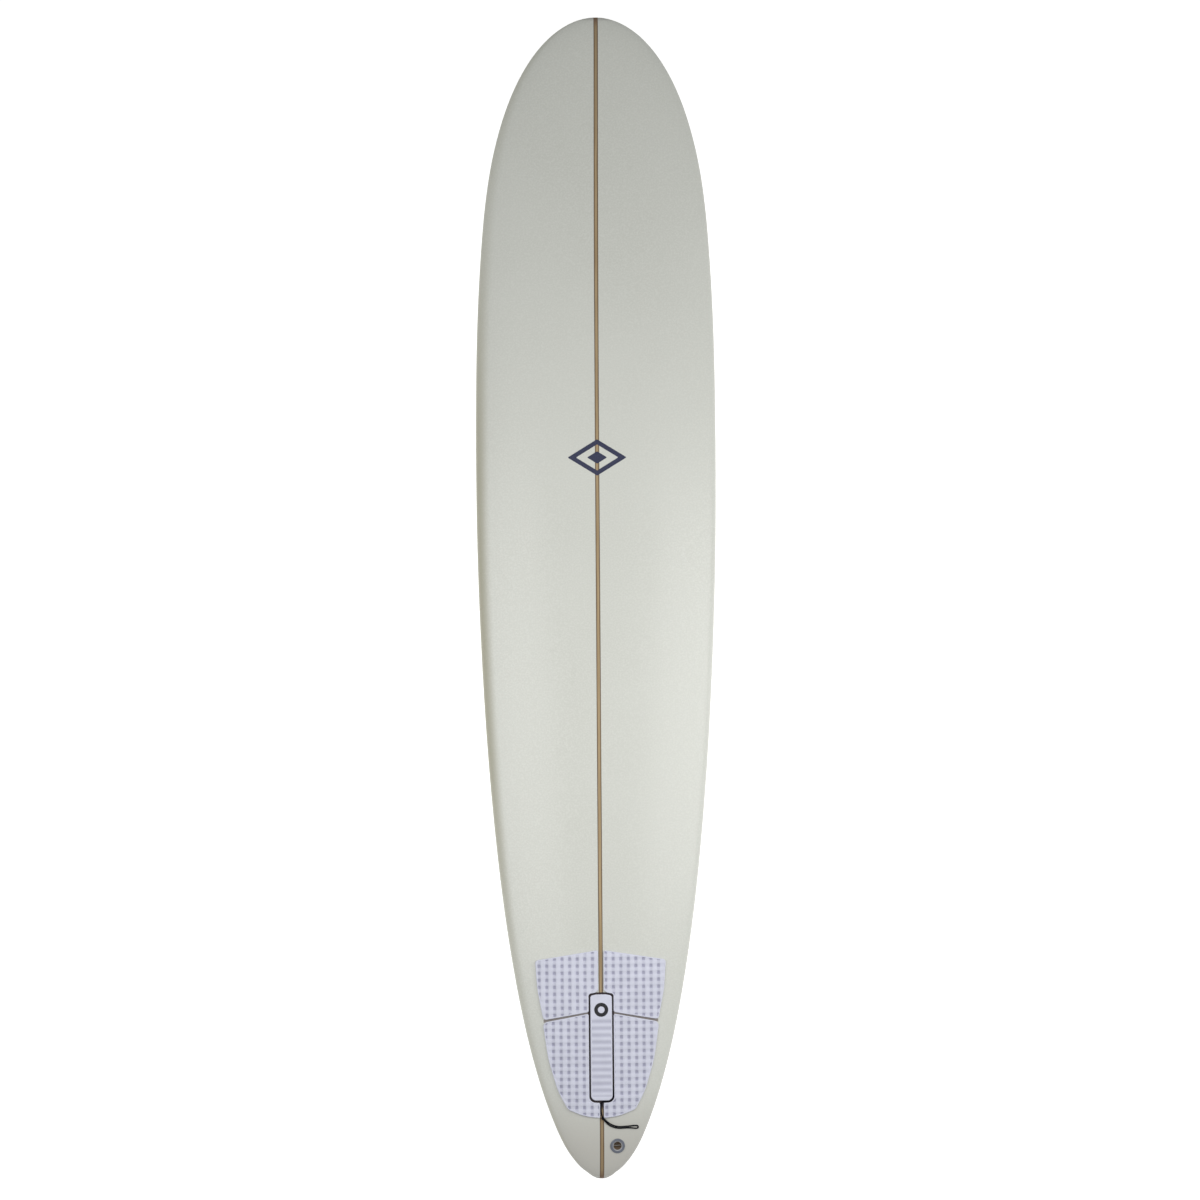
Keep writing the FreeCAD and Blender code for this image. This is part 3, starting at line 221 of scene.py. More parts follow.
class Paint:
    """A node material built in a few lines."""

    def __init__(self, name, **sockets):
        self.material = bpy.data.materials.new(name)
        self.material.use_nodes = True
        self.tree = self.material.node_tree
        self.shader = self.tree.nodes["Principled BSDF"]
        self.set(self.shader, **sockets)
        self.place = self.node("ShaderNodeTexCoord").outputs["Object"]

    def set(self, node, **sockets):
        for name, value in sockets.items():
            node.inputs[name.replace("_", " ")].default_value = value

    def node(self, kind, inputs=None, **settings):
        made = self.tree.nodes.new(kind)
        for name, value in settings.items():
            setattr(made, name, value)
        for name, value in (inputs or {}).items():
            self.feed(made.inputs[name], value)
        return made

    def feed(self, socket, value):
        if isinstance(value, bpy.types.NodeSocket):
            self.tree.links.new(value, socket)
        else:
            socket.default_value = value

    def math(self, operation, a, b=0.0):
        return self.node("ShaderNodeMath", {0: a, 1: b}, operation=operation).outputs[0]

    def scaled(self, x, y, z):
        return self.node("ShaderNodeMapping", {"Vector": self.place, "Scale": (x, y, z)}).outputs[0]

    def noise(self, scale, detail=2.0, where=None, roughness=0.5):
        inputs = {"Vector": where or self.place, "Scale": scale, "Detail": detail, "Roughness": roughness}
        return self.node("ShaderNodeTexNoise", inputs).outputs["Fac"]

    def ramp(self, factor, *stops):
        """Colours at places from 0 to 1, blended between."""
        made = self.node("ShaderNodeValToRGB", {"Fac": factor})
        elements = made.color_ramp.elements
        while len(elements) < len(stops):
            elements.new(0.5)
        for element, (at, colour) in zip(elements, stops):
            element.position = at
            element.color = (*colour, 1) if len(colour) == 3 else colour
        return made.outputs["Color"]

    def mix(self, factor, a, b, blend="MIX"):
        made = self.node("ShaderNodeMix", data_type="RGBA", blend_type=blend)
        self.feed(made.inputs["Factor"], factor)
        self.feed(made.inputs["A"], a)
        self.feed(made.inputs["B"], b)
        return made.outputs["Result"]

    def step(self, value, low, high):
        """0 below low, 1 above high, smooth between."""
        inputs = {"Value": value, "From Min": low, "From Max": high}
        return self.node("ShaderNodeMapRange", inputs, interpolation_type="SMOOTHSTEP").outputs["Result"]

    def inside(self, value, half, soft):
        """1 where the value is nearer to 0 than half, 0 beyond."""
        return self.math("SUBTRACT", 1.0, self.step(self.math("ABSOLUTE", value), half - soft, half))

    def bump(self, height, strength, distance):
        made = self.node("ShaderNodeBump", {"Height": height, "Strength": strength, "Distance": distance})
        self.tree.links.new(made.outputs["Normal"], self.shader.inputs["Normal"])

    def shade(self):
        """The mesh's own float, stored on its points."""
        stored = self.node("ShaderNodeAttribute", attribute_name="shade", attribute_type="GEOMETRY")
        return stored.outputs["Fac"]

    def colour(self, value):
        self.feed(self.shader.inputs["Base Color"], value)

    def roughness(self, value):
        self.feed(self.shader.inputs["Roughness"], value)


blank_material = bpy.data.materials.new("cutter")


def wood_colour(paint):
    """Straight-grained strip: light core, darker glue lines and bands, by the distance from the centre line."""
    grain = paint.noise(1.0, 4.0, paint.scaled(900, 9, 60), 0.6)
    core = paint.ramp(grain, (0.25, (0.27, 0.175, 0.085)), (0.55, (0.46, 0.335, 0.185)),
                      (0.8, (0.56, 0.43, 0.255)))
    band = paint.ramp(grain, (0.3, (0.10, 0.060, 0.035)), (0.7, (0.17, 0.115, 0.065)))
    return core, band


def pad_gap_shade(paint, side, back, glass):
    """Painted shade, with some grime, on the glass between the pads: in the seam, round the bar and down the
    string's slot (m).
    """
    seam_y = paint.math("ADD", 0.97205, paint.math("MULTIPLY", side, SEAM_SLOPE))
    seam = paint.math("MULTIPLY", paint.inside(paint.math("SUBTRACT", back, seam_y), 0.0042, 0.0012),
                      paint.inside(side, 0.137, 0.002))
    bar_gap = paint.math("MULTIPLY", paint.inside(side, 0.0310, 0.001),
                         paint.inside(paint.math("SUBTRACT", back, 1.0594), 0.1306, 0.0008))
    slot = paint.math("MULTIPLY", paint.inside(side, 0.0058, 0.0006),
                      paint.inside(paint.math("SUBTRACT", back, 1.190), 0.022, 0.016))
    # The seam is painted brown-grey, the bar's gap and the slot near black: painted shade with some grime.
    glass = paint.mix(paint.math("MULTIPLY", seam, 0.85), glass, (0.20, 0.165, 0.155, 1))
    return paint.mix(paint.math("MAXIMUM", bar_gap, slot), glass, (0.030, 0.018, 0.022, 1))


def glassed_board(name, under_pads):
    """Foam and stringer seen through clear gloss laminate. Only the deck's glass lies under the pads."""
    paint = Paint(name, Coat_Weight=0.4, Coat_Roughness=0.2, IOR=1.5, Specular_IOR_Level=0.25)
    apart = paint.node("ShaderNodeSeparateXYZ", {"Vector": paint.place})
    side = paint.math("ABSOLUTE", apart.outputs["X"])
    end = paint.math("ABSOLUTE", apart.outputs["Y"])
    back = paint.math("MULTIPLY", apart.outputs["Y"], -1.0)
    wander = paint.math("MULTIPLY", paint.math("SUBTRACT", paint.noise(3.0), 0.5), 0.0005)
    across = paint.math("ADD", side, wander)

    core, band = wood_colour(paint)
    wood = paint.mix(paint.step(across, 0.0027, 0.0032), core, band)
    darker_ends = paint.math("MULTIPLY", paint.step(end, 0.95, 1.34), 0.3)
    wood = paint.mix(darker_ends, wood, (0.18, 0.12, 0.07, 1))
    wood = paint.mix(paint.step(end, 1.345, 1.372), wood, (0.20, 0.125, 0.080, 1))

    cloud = paint.noise(2.6, 3.0)
    speck = paint.noise(260.0, 2.0)
    foam = paint.ramp(cloud, (0.3, (0.670, 0.676, 0.612)), (0.7, (0.700, 0.707, 0.645)))
    foam = paint.mix(paint.step(speck, 0.35, 0.75), foam, (0.735, 0.742, 0.680, 1))
    foam = paint.mix(paint.step(back, 1.12, 1.32), foam, (0.600, 0.585, 0.530, 1))
    # Painted shade: the last 10 mm at each tip are darkened to dim their bright rim.
    tips = paint.math("MULTIPLY", paint.step(end, 1.3610, 1.3705), 0.5)
    foam = paint.mix(tips, foam, (0.33, 0.32, 0.29, 1))
    # Painted reflection: a darker yellow-brown band along the left rail, strongest mid-board.
    left_rail_reflection = paint.step(paint.math("MULTIPLY", paint.shade(), -1.0), 0.88, 0.99)
    mid_board = paint.inside(apart.outputs["Y"], 1.0, 0.75)
    reflection_strength = paint.math("ADD", paint.math("MULTIPLY", mid_board, 0.42), 0.22)
    foam = paint.mix(paint.math("MULTIPLY", left_rail_reflection, reflection_strength), foam, (0.34, 0.31, 0.19, 1))

    glass = paint.mix(paint.step(across, 0.0048, 0.0054), wood, foam)
    if under_pads:
        glass = pad_gap_shade(paint, side, back, glass)
    paint.colour(glass)
    paint.roughness(paint.step(cloud, -0.4, 1.9))
    weave = paint.node("ShaderNodeTexWave", {"Vector": paint.place, "Scale": 180.0, "Distortion": 0.4},
                       bands_direction="Y").outputs["Fac"]
    cloth = paint.math("ADD", paint.math("MULTIPLY", weave, 0.15), paint.noise(45.0, 3.0))
    paint.bump(cloth, 0.05, 0.0006)
    return paint.material


def pad_foam(name, tone):
    """Closed-cell EVA foam: matt, faintly mottled, with a fine cell texture; the mesh's shade darkens it as
    painted shade in the cuts and, with some grime, at the foot of the walls.
    """
    paint = Paint(name, Roughness=0.82, Specular_IOR_Level=0.3, Sheen_Weight=0.15, Sheen_Roughness=0.5)
    mottle = paint.noise(28.0, 4.0)
    cells = paint.noise(1400.0, 2.0)
    darker = tuple(c * 0.93 for c in tone)
    base = paint.ramp(mottle, (0.3, darker), (0.65, tone))
    base = paint.mix(paint.math("MULTIPLY", paint.step(cells, 0.45, 0.8), 0.12), base, (0.42, 0.40, 0.42, 1))
    # Painted shade from the mesh's shade: grey in the cuts, near black at the walls' foot by the bar.
    shade_and_grime = paint.ramp(paint.shade(), (0.0, (1, 1, 1)), (0.5, (0.47, 0.46, 0.53)), (1.0, (0.040, 0.028, 0.030)))
    paint.colour(paint.mix(1.0, base, shade_and_grime, "MULTIPLY"))
    paint.roughness(paint.math("ADD", paint.math("MULTIPLY", mottle, 0.12), 0.74))
    paint.bump(paint.math("ADD", cells, paint.noise(320.0, 3.0)), 0.35, 0.00025)
    return paint.material


def print_film(name, tone, coat=0.6):
    """A thin printed mark under a clear coat."""
    paint = Paint(name, Roughness=0.4, Coat_Weight=coat, Coat_Roughness=0.12)
    fleck = paint.noise(420.0, 3.0)
    paint.colour(paint.ramp(fleck, (0.3, tone), (0.85, tuple(c * 1.7 + 0.004 for c in tone))))
    paint.bump(fleck, 0.08, 0.0001)
    return paint.material


def moulded(name, tone, rough):
    """Plain moulded plastic, slightly worn."""
    paint = Paint(name, IOR=1.46)
    fleck = paint.noise(500.0, 3.0)
    worn = paint.noise(60.0, 4.0)
    paint.colour(paint.ramp(worn, (0.3, tuple(c * 0.86 for c in tone)), (0.75, tone)))
    paint.roughness(paint.math("ADD", paint.math("MULTIPLY", worn, 0.16), rough - 0.08))
    paint.bump(fleck, 0.12, 0.0001)
    return paint.material


def smoked_plastic(name):
    """Grey translucent rim and a brown cup inside it; the bevel between them is painted pale as a painted
    highlight.
    """
    paint = Paint(name, Coat_Weight=0.8, Coat_Roughness=0.08, Transmission_Weight=0.15, IOR=1.46)
    apart = paint.node("ShaderNodeSeparateXYZ", {"Vector": paint.place})
    across = paint.math("SUBTRACT", apart.outputs["X"], PLUG_X * MM)
    along = paint.math("SUBTRACT", apart.outputs["Y"], PLUG_Y * MM)
    radius = paint.math("SQRT", paint.math("ADD", paint.math("MULTIPLY", across, across),
                                           paint.math("MULTIPLY", along, along)))
    worn = paint.noise(60.0, 4.0)
    rim = paint.ramp(worn, (0.3, (0.17, 0.185, 0.225)), (0.75, (0.215, 0.235, 0.285)))
    cup = paint.ramp(worn, (0.3, (0.260, 0.185, 0.120)), (0.75, (0.340, 0.250, 0.165)))
    # Painted highlight: the funnel's bevel between cup and rim is painted pale grey.
    lip_highlight = paint.mix(paint.step(radius, 0.0092, 0.0098), cup, (0.50, 0.51, 0.53, 1))
    paint.colour(paint.mix(paint.step(radius, 0.0112, 0.0122), lip_highlight, rim))
    paint.roughness(paint.math("ADD", paint.math("MULTIPLY", worn, 0.16), 0.12))
    paint.bump(paint.noise(500.0, 3.0), 0.12, 0.0001)
    return paint.material


def metal(name, tone, rough=0.28):
    """Metal brushed along one direction."""
    paint = Paint(name, Metallic=1.0)
    brushed = paint.noise(1.0, 3.0, paint.scaled(260, 3200, 3200))
    paint.colour(paint.ramp(brushed, (0.2, tuple(c * 0.8 for c in tone)), (0.8, tone)))
    paint.roughness(paint.math("ADD", paint.math("MULTIPLY", brushed, 0.18), rough - 0.09))
    paint.bump(brushed, 0.08, 0.00005)
    return paint.material


def fin_glass(name):
    """Dark glass-fibre fin: fine woven cloth under a satin coat."""
    paint = Paint(name, Coat_Weight=0.7, Coat_Roughness=0.14)
    apart = paint.node("ShaderNodeSeparateXYZ", {"Vector": paint.place})
    along = paint.math("SINE", paint.math("MULTIPLY", apart.outputs["Y"], 4200.0))
    up = paint.math("SINE", paint.math("MULTIPLY", apart.outputs["Z"], 4200.0))
    cloth = paint.math("ADD", paint.math("MULTIPLY", paint.math("MULTIPLY", along, up), 0.5), 0.5)
    cloudy = paint.noise(35.0, 4.0)
    tone = paint.ramp(cloudy, (0.3, (0.018, 0.026, 0.050)), (0.7, (0.034, 0.047, 0.085)))
    paint.colour(paint.mix(paint.math("MULTIPLY", cloth, 0.35), tone, (0.075, 0.095, 0.15, 1)))
    paint.roughness(paint.math("ADD", paint.math("MULTIPLY", cloudy, 0.15), 0.32))
    paint.bump(cloth, 0.10, 0.0001)
    return paint.material


def braid(name, tone):
    """Fine diagonal braid along a round cord."""
    paint = Paint(name, Roughness=0.8, Specular_IOR_Level=0.12)
    uv = paint.node("ShaderNodeTexCoord").outputs["UV"]
    apart = paint.node("ShaderNodeSeparateXYZ", {"Vector": uv})
    turns = paint.math("MULTIPLY", apart.outputs["Y"], 6 * 2 * math.pi)
    length = paint.math("MULTIPLY", apart.outputs["X"], 240 * 2 * math.pi)
    one = paint.math("SINE", paint.math("ADD", turns, length))
    other = paint.math("SINE", paint.math("SUBTRACT", turns, length))
    strands = paint.math("MAXIMUM", one, other)
    paint.colour(paint.ramp(strands, (0.0, tuple(c * 0.4 for c in tone)), (0.8, tone)))
    paint.bump(paint.math("ADD", strands, paint.noise(3000.0)), 0.5, 0.0003)
    return paint.material


board_gloss = glassed_board("board_gloss", True)
bottom_gloss = glassed_board("bottom_gloss", False)
white_pad = pad_foam("pad_foam_white", (0.76, 0.77, 0.88))
navy_film = print_film("navy_film", (0.012, 0.016, 0.055))
black_film = print_film("black_inlay", (0.004, 0.004, 0.006), coat=0.1)
smoked = smoked_plastic("smoked_plastic")
steel = metal("brushed_stainless", (0.62, 0.62, 0.63))
# The cup's bar: steel painted dark and brownish as painted shade and brown reflection inside the cup.
shaded_steel = metal("steel_bar_painted_dark", (0.30, 0.28, 0.26), rough=0.42)
brass = metal("plain_brass", (0.72, 0.52, 0.22))
cord_braid = braid("cord_braid", (0.006, 0.006, 0.012))
box_plastic = moulded("box_plastic", (0.74, 0.74, 0.70), rough=0.5)
fin_cloth = fin_glass("fin_glass_cloth")


def foam_material():
    """Bare foam of the blanks, hidden under the glass."""
    paint = Paint("blank_foam_bare", Roughness=0.9)
    cells = paint.noise(900.0, 2.0)
    paint.colour(paint.ramp(cells, (0.3, (0.80, 0.80, 0.74)), (0.7, (0.86, 0.86, 0.80))))
    paint.bump(cells, 0.3, 0.0003)
    return paint.material


def wood_material(name, which):
    """The stringer's light core (0) or its darker bands (1)."""
    paint = Paint(name, Roughness=0.55)
    paint.colour(wood_colour(paint)[which])
    return paint.material


def dress(node, material):
    """A better material on a CAD node that is kept."""
    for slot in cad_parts[node].material_slots:
        slot.material = material


foam_bare = foam_material()
CAD_FINISH = {
    "foam_blank_left": foam_bare, "foam_blank_right": foam_bare,
    "stringer_core": wood_material("stringer_core_wood", 0),
    "stringer_band_left": wood_material("stringer_band_wood", 1),
    "leash_cup_bar": shaded_steel,
    "deck_emblem": navy_film, "deck_emblem_core": navy_film, "pad_badge": black_film,
    "center_fin_box": box_plastic, "side_fin_box_left": box_plastic, "side_fin_box_right": box_plastic,
    "center_fin": fin_cloth, "side_fin_left": fin_cloth, "side_fin_right": fin_cloth,
    "center_fin_pin": brass, "center_fin_plate": steel, "center_fin_screw": steel,
    "side_fin_screw_left": steel, "side_fin_screw_right": steel,
}
CAD_FINISH["stringer_band_right"] = CAD_FINISH["stringer_band_left"]
for node_name, finish in CAD_FINISH.items():
    dress(node_name, finish)


# ------------------------------------------------------------------ camera

camera_data = bpy.data.cameras.new("camera")
camera = bpy.data.objects.new("camera", camera_data)
bpy.context.scene.collection.objects.link(camera)
DISTANCE = 14.0
FRAME_WIDTH = 2.8376  # metres across the picture at the target
LEAN, ROLL = math.radians(3.5), math.radians(0.40)
camera_data.sensor_width = 36.0
camera_data.lens = 36.0 * DISTANCE / FRAME_WIDTH
target = Vector((0.0041, -0.0013, 0.215))
away = Vector((-math.sin(LEAN), 0, math.cos(LEAN)))
image_up = Vector((math.sin(ROLL), math.cos(ROLL), 0))
image_right = image_up.cross(away).normalized()
image_up = away.cross(image_right)
camera.matrix_world = Matrix.Translation(target + away * DISTANCE) @ Matrix(
    (image_right, image_up, away)).transposed().to_4x4()
camera_data.clip_start, camera_data.clip_end = 0.1, 60
bpy.context.scene.camera = camera
bpy.context.scene.view_settings.view_transform = "Standard"


# ------------------------------------------------------------------ leash string

CORD_LIFT = 1.8
CORD_ROUTE = [
    (27.9, -1150.5, CORD_LIFT), (27.1, -1164.0, CORD_LIFT), (27.6, -1177.6, CORD_LIFT),
    (19.6, -1186.3, CORD_LIFT), (-2.4, -1186.2, CORD_LIFT), (-2.6, -1207.6, CORD_LIFT),
    (-0.9, -1219.0, CORD_LIFT), (4.4, -1230.4, CORD_LIFT), (13.0, -1240.2, CORD_LIFT),
    (23.8, -1246.9, CORD_LIFT), (37.6, -1250.6, CORD_LIFT), (52.0, -1250.2, CORD_LIFT),
    (64.0, -1249.5, CORD_LIFT), (75.5, -1251.0, CORD_LIFT), (86.0, -1252.0, CORD_LIFT),
    (86.2, -1245.0, CORD_LIFT), (75.5, -1244.7, CORD_LIFT), (64.0, -1245.9, CORD_LIFT),
    (52.0, -1246.6, CORD_LIFT), (38.2, -1247.0, CORD_LIFT), (25.0, -1243.1, 2.6),
    (14.0, -1236.4, 3.9), (7.4, -1230.0, 4.9), (2.8, -1226.4, 5.1),
]
CORD_DIAMETER = 3.1
KNOT_PLACE = (1.6, -1226.8, 3.6)


def over_deck(x, y, lift):
    """A place in metres, lift mm above the deck."""
    return Vector((x, y, float(deck_height(x, y)) + lift)) * MM


def nurbs(name, points, radius, material):
    """A round cord along a smooth curve."""
    curve = bpy.data.curves.new(name, "CURVE")
    curve.dimensions = "3D"
    spline = curve.splines.new("NURBS")
    spline.points.add(len(points) - 1)
    for place, point in zip(points, spline.points):
        point.co = (*place, 1)
    spline.order_u = 3
    spline.use_endpoint_u = True
    spline.resolution_u = 12
    curve.bevel_depth = radius
    curve.bevel_resolution = 6
    curve.use_fill_caps = True
    curve.materials.append(material)
    made = bpy.data.objects.new(name, curve)
    bpy.context.scene.collection.objects.link(made)
    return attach(made, "board")


def trefoil_knot(name, centre, reach, flatness, radius, material):
    """A small tightened knot: one closed strand that goes over and under itself."""
    steps, sides = 144, 14
    t = np.linspace(0, 2 * np.pi, steps, endpoint=False)
    path = np.stack([np.sin(t) + 2 * np.sin(2 * t),
                     np.cos(t) - 2 * np.cos(2 * t),
                     -np.sin(3 * t) * flatness], 1)
    path *= reach / 3
    ahead = np.roll(path, -1, 0) - np.roll(path, 1, 0)
    ahead /= np.linalg.norm(ahead, axis=1)[:, None]
    side = np.cross(ahead, [0, 0, 1.0])
    side /= np.linalg.norm(side, axis=1)[:, None]
    up = np.cross(side, ahead)
    verts, faces = [], []
    for i in range(steps):
        for j in range(sides):
            a = 2 * np.pi * j / sides
            verts.append(path[i] + radius * (np.cos(a) * side[i] + np.sin(a) * up[i]))
            b, c = (i + 1) % steps * sides, (j + 1) % sides
            faces.append([i * sides + j, i * sides + c, b + c, b + j])
    verts = np.array(verts) + np.array(centre) / MM
    return new_mesh(name, verts, faces, material, "board", 180)


knot_centre = over_deck(*KNOT_PLACE)
knot = trefoil_knot("leash_string_knot_turns", knot_centre, 2.55, 0.75, 1.2, cord_braid)
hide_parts("leash_string_knot")
string = nurbs("leash_string_braided", [over_deck(*p) for p in CORD_ROUTE],
               CORD_DIAMETER / 2 * MM, cord_braid)
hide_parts("leash_string")
tuple(over_deck(*CORD_ROUTE[0]))


# ------------------------------------------------------------------ glass laminates

def board_rows(count, end_half_width):
    """Places along the board, close together at the tips."""
    angles = np.linspace(0, np.pi, 20001)
    half_widths = section(HALF_LENGTH * np.cos(angles))[1]
    inside = angles[half_widths >= end_half_width]
    return HALF_LENGTH * np.cos(np.linspace(inside[-1], inside[0], count))


def skin_points(rows, deck_side, inset, columns, seam=0.1):
    """One face of a skin; the two skins part at the rail by twice the seam."""
    turns = (np.linspace(0, 1, columns) - 0.5) * np.pi
    y = rows * (HALF_LENGTH - inset) / HALF_LENGTH
    rail, half_width, above, below, deck_power, bottom_power = [v[:, None] for v in section(y, inset)]
    across = np.sin(turns)[None, :]
    if deck_side:
        z = rail + seam + (above - seam) * np.sqrt(np.maximum(0, 1 - np.abs(across) ** deck_power))
    else:
        z = rail - seam - (below - seam) * np.sqrt(np.maximum(0, 1 - np.abs(across) ** bottom_power))
    return np.stack([half_width * across, np.broadcast_to(y[:, None], z.shape), z], 2).reshape(-1, 3)


def glass_skin(name, node, deck_side):
    """A closed 1 mm shell of fine quads, from rail line to rail line."""
    rows, columns = board_rows(331, 6.0), 121
    outer, inner = (skin_points(rows, deck_side, inset, columns) for inset in (0.0, 1.0))
    count = len(rows) * columns
    faces = grid_faces(len(rows), columns) + grid_faces(len(rows), columns, count, True)
    rim = ([i * columns for i in range(len(rows))]
           + [(len(rows) - 1) * columns + j for j in range(1, columns)]
           + [i * columns + columns - 1 for i in range(len(rows) - 2, -1, -1)]
           + list(range(columns - 2, 0, -1)))
    faces += [[a, b, b + count, a + count] for a, b in zip(rim, rim[1:] + rim[:1])]
    across = np.sin((np.linspace(0, 1, columns) - 0.5) * np.pi)
    material = board_gloss if deck_side else bottom_gloss
    piece = new_mesh(name, np.concatenate([outer, inner]), faces, material, "board", 50,
                     np.tile(across, 2 * len(rows)))
    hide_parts(node)
    return piece


PLUG = surface_frame(PLUG_X, PLUG_Y, deck_height)
deck_skin = glass_skin("deck_glass", "deck_laminate", True)
ROUT_RADIUS = 14.35
plug_cutter = lathe("plug_cutter", [(0, -30), (ROUT_RADIUS, -30), (ROUT_RADIUS, 30), (0, 30)],
                    PLUG, blank_material, None)
boolean_cut(deck_skin, [plug_cutter], 50)

bottom_skin = glass_skin("bottom_glass", "bottom_laminate", False)
CENTRE_BOX_Y = -1136.0
SIDE_BOX_X, SIDE_BOX_Y, SIDE_BOX_TOE_IN = 142.0, -992.0, 2.0
box_cutters = [block("centre_cutter", surface_frame(0, CENTRE_BOX_Y, bottom_height, 1.0), (26.3, 267.3, 40))]
for side in (-1, 1):
    box_place = surface_frame(side * SIDE_BOX_X, SIDE_BOX_Y, bottom_height, 0.3, side * SIDE_BOX_TOE_IN)
    box_cutters.append(block(f"side_cutter_{side}", box_place, (15.3, 124.3, 30)))
boolean_cut(bottom_skin, box_cutters, 50)


# ------------------------------------------------------------------ traction pads

GLUE_GAP = 0.1
PAD_THICKNESS, BAR_THICKNESS = 5.0, 6.5
PITCH_X, PITCH_Y = 18.0, 16.6
COLUMN_DEPTH, PIT_DEPTH = 1.0, 3.2
NOTCH = 25.4 + 4.3  # half the bar's width and the gap beside it


def rounded(corners, step=1.0):
    """Points along straight runs joined by tangent arcs: corners are (x, y, radius)."""
    points, count = [], len(corners)
    for i, (x, y, radius) in enumerate(corners):
        here = Vector((x, y))
        back = (Vector(corners[i - 1][:2]) - here).normalized()
        ahead = (Vector(corners[(i + 1) % count][:2]) - here).normalized()
        half_turn = (math.pi - back.angle(ahead)) / 2
        start, end = here + back * radius * math.tan(half_turn), here + ahead * radius * math.tan(half_turn)
        centre = here + (back + ahead).normalized() * (radius / math.cos(half_turn))
        pieces = max(2, math.ceil(2 * half_turn * radius / step), math.ceil(2 * half_turn / 0.2))
        for k in range(pieces + 1):
            spoke = start.lerp(end, k / pieces) - centre
            points.append(centre + spoke.normalized() * radius)
    dense = []
    for a, b in zip(points, points[1:] + points[:1]):
        parts = max(1, round((b - a).length / (2 * step)))
        dense += [a.lerp(b, k / parts) for k in range(parts)]
    return np.array([tuple(p) for p in dense])


def offset_inward(loop, distance):
    """The outline moved inward, mitred at its corners."""
    ahead = np.roll(loop, -1, 0) - loop
    ahead /= np.linalg.norm(ahead, axis=1)[:, None]
    normal = np.stack([-ahead[:, 1], ahead[:, 0]], 1)
    corner = normal + np.roll(normal, 1, 0)
    corner /= np.linalg.norm(corner, axis=1)[:, None]
    reach = distance / np.maximum(0.5, (corner * normal).sum(1))
    area = (loop[:, 0] * np.roll(loop[:, 1], -1) - loop[:, 1] * np.roll(loop[:, 0], -1)).sum()
    return loop + corner * (reach * np.sign(area))[:, None]


def edge_distance(points, loop):
    """Distance from each point to the outline, negative outside it."""
    ends = np.roll(loop, -1, 0)
    best = np.full(len(points), 1e9)
    inside = np.zeros(len(points), bool)
    for a, b in zip(loop, ends):
        run = b - a
        t = np.clip(((points - a) @ run) / (run @ run), 0, 1)
        best = np.minimum(best, np.linalg.norm(points - a - t[:, None] * run, axis=1))
        crossing = (a[1] > points[:, 1]) != (b[1] > points[:, 1])
        with np.errstate(divide="ignore", invalid="ignore"):
            inside ^= crossing & (points[:, 0] < a[0] + (points[:, 1] - a[1]) * run[0] / run[1])
    return np.where(inside, best, -best)


def lines_over(low, high, pitch, phase, offsets):
    """Grid lines at the groove profile's break points."""
    first = math.floor((low - phase) / pitch) - 1
    last = math.ceil((high - phase) / pitch) + 1
    found = {round(phase + k * pitch + o, 4) for k in range(first, last + 1) for o in offsets}
    return np.array(sorted(v for v in found if low < v < high))


def wall_foot_shade(x, y):
    """How dark the foot of a pad's side is painted: painted shade with some grime, darkest round the bar and in
    the seam between the pads, faint elsewhere.
    """
    seam = np.abs(y + 977.45 + (np.abs(x) - 29.7) * SEAM_SLOPE) < 4.0
    near_bar = (np.abs(x) < 31.0) & (y > -1190.5) & (y < -928.0)
    return np.where(near_bar, 1.0, np.where(seam, 0.75, 0.3))


def foam_pad(name, node, outline, xs, ys, top, rims=(0.5, 1.1, 1.8)):
    """A foam pad over the deck: an exact outline, a softened rim and a cut pattern, as one closed mesh."""
    loop = rounded(outline)
    loops = [loop] + [offset_inward(loop, r) for r in rims]
    grid = np.array([(x, y) for x in xs for y in ys])
    grid = grid[edge_distance(grid, loop) > rims[-1] + 0.55]
    flat = np.concatenate(loops + [grid])
    n = len(loop)
    edges = [(k * n + i, k * n + (i + 1) % n) for k in range(len(loops)) for i in range(n)]
    verts, _, faces, _, _, _ = delaunay_2d_cdt([Vector(p) for p in flat], edges, [], 1, 1e-5)
    verts = np.array([tuple(v) for v in verts])
    depth = np.maximum(0, edge_distance(verts, loop))
    x, y = verts.T
    thickness, shade = top(x, y, depth)
    crown = np.column_stack([x, y, deck_height(x, y) + GLUE_GAP + thickness])
    under, _, under_faces, _, _, _ = delaunay_2d_cdt(
        [Vector(p) for p in loop], [(i, (i + 1) % n) for i in range(n)], [], 1, 1e-5)
    under = np.array([tuple(v) for v in under])
    base = np.column_stack([under, deck_height(*under.T) + GLUE_GAP])
    faces = [list(f) for f in faces] + [[len(verts) + i for i in f][::-1] for f in under_faces]
    rim = [int(np.argmin(((verts - p) ** 2).sum(1))) for p in loop]
    low = [len(verts) + int(np.argmin(((under - p) ** 2).sum(1))) for p in loop]
    faces += [[rim[i], rim[(i + 1) % n], low[(i + 1) % n], low[i]] for i in range(n)]
    # The pad walls darken towards their foot: painted shade.
    shade = np.concatenate([shade, wall_foot_shade(*under.T)])
    piece = new_mesh(name, np.concatenate([crown, base]), faces, white_pad, "board", 55, shade)
    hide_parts(node)
    return piece


def smooth01(t):
    """0 to 1 with level ends."""
    t = np.clip(t, 0, 1)
    return t * t * (3 - 2 * t)


def groove(value, pitch, phase, half_floor, half_width):
    """1 along the floor of a groove, 0 on the foam between."""
    away_from = np.abs((value - phase + pitch / 2) % pitch - pitch / 2)
    return smooth01((half_width - away_from) / (half_width - half_floor))


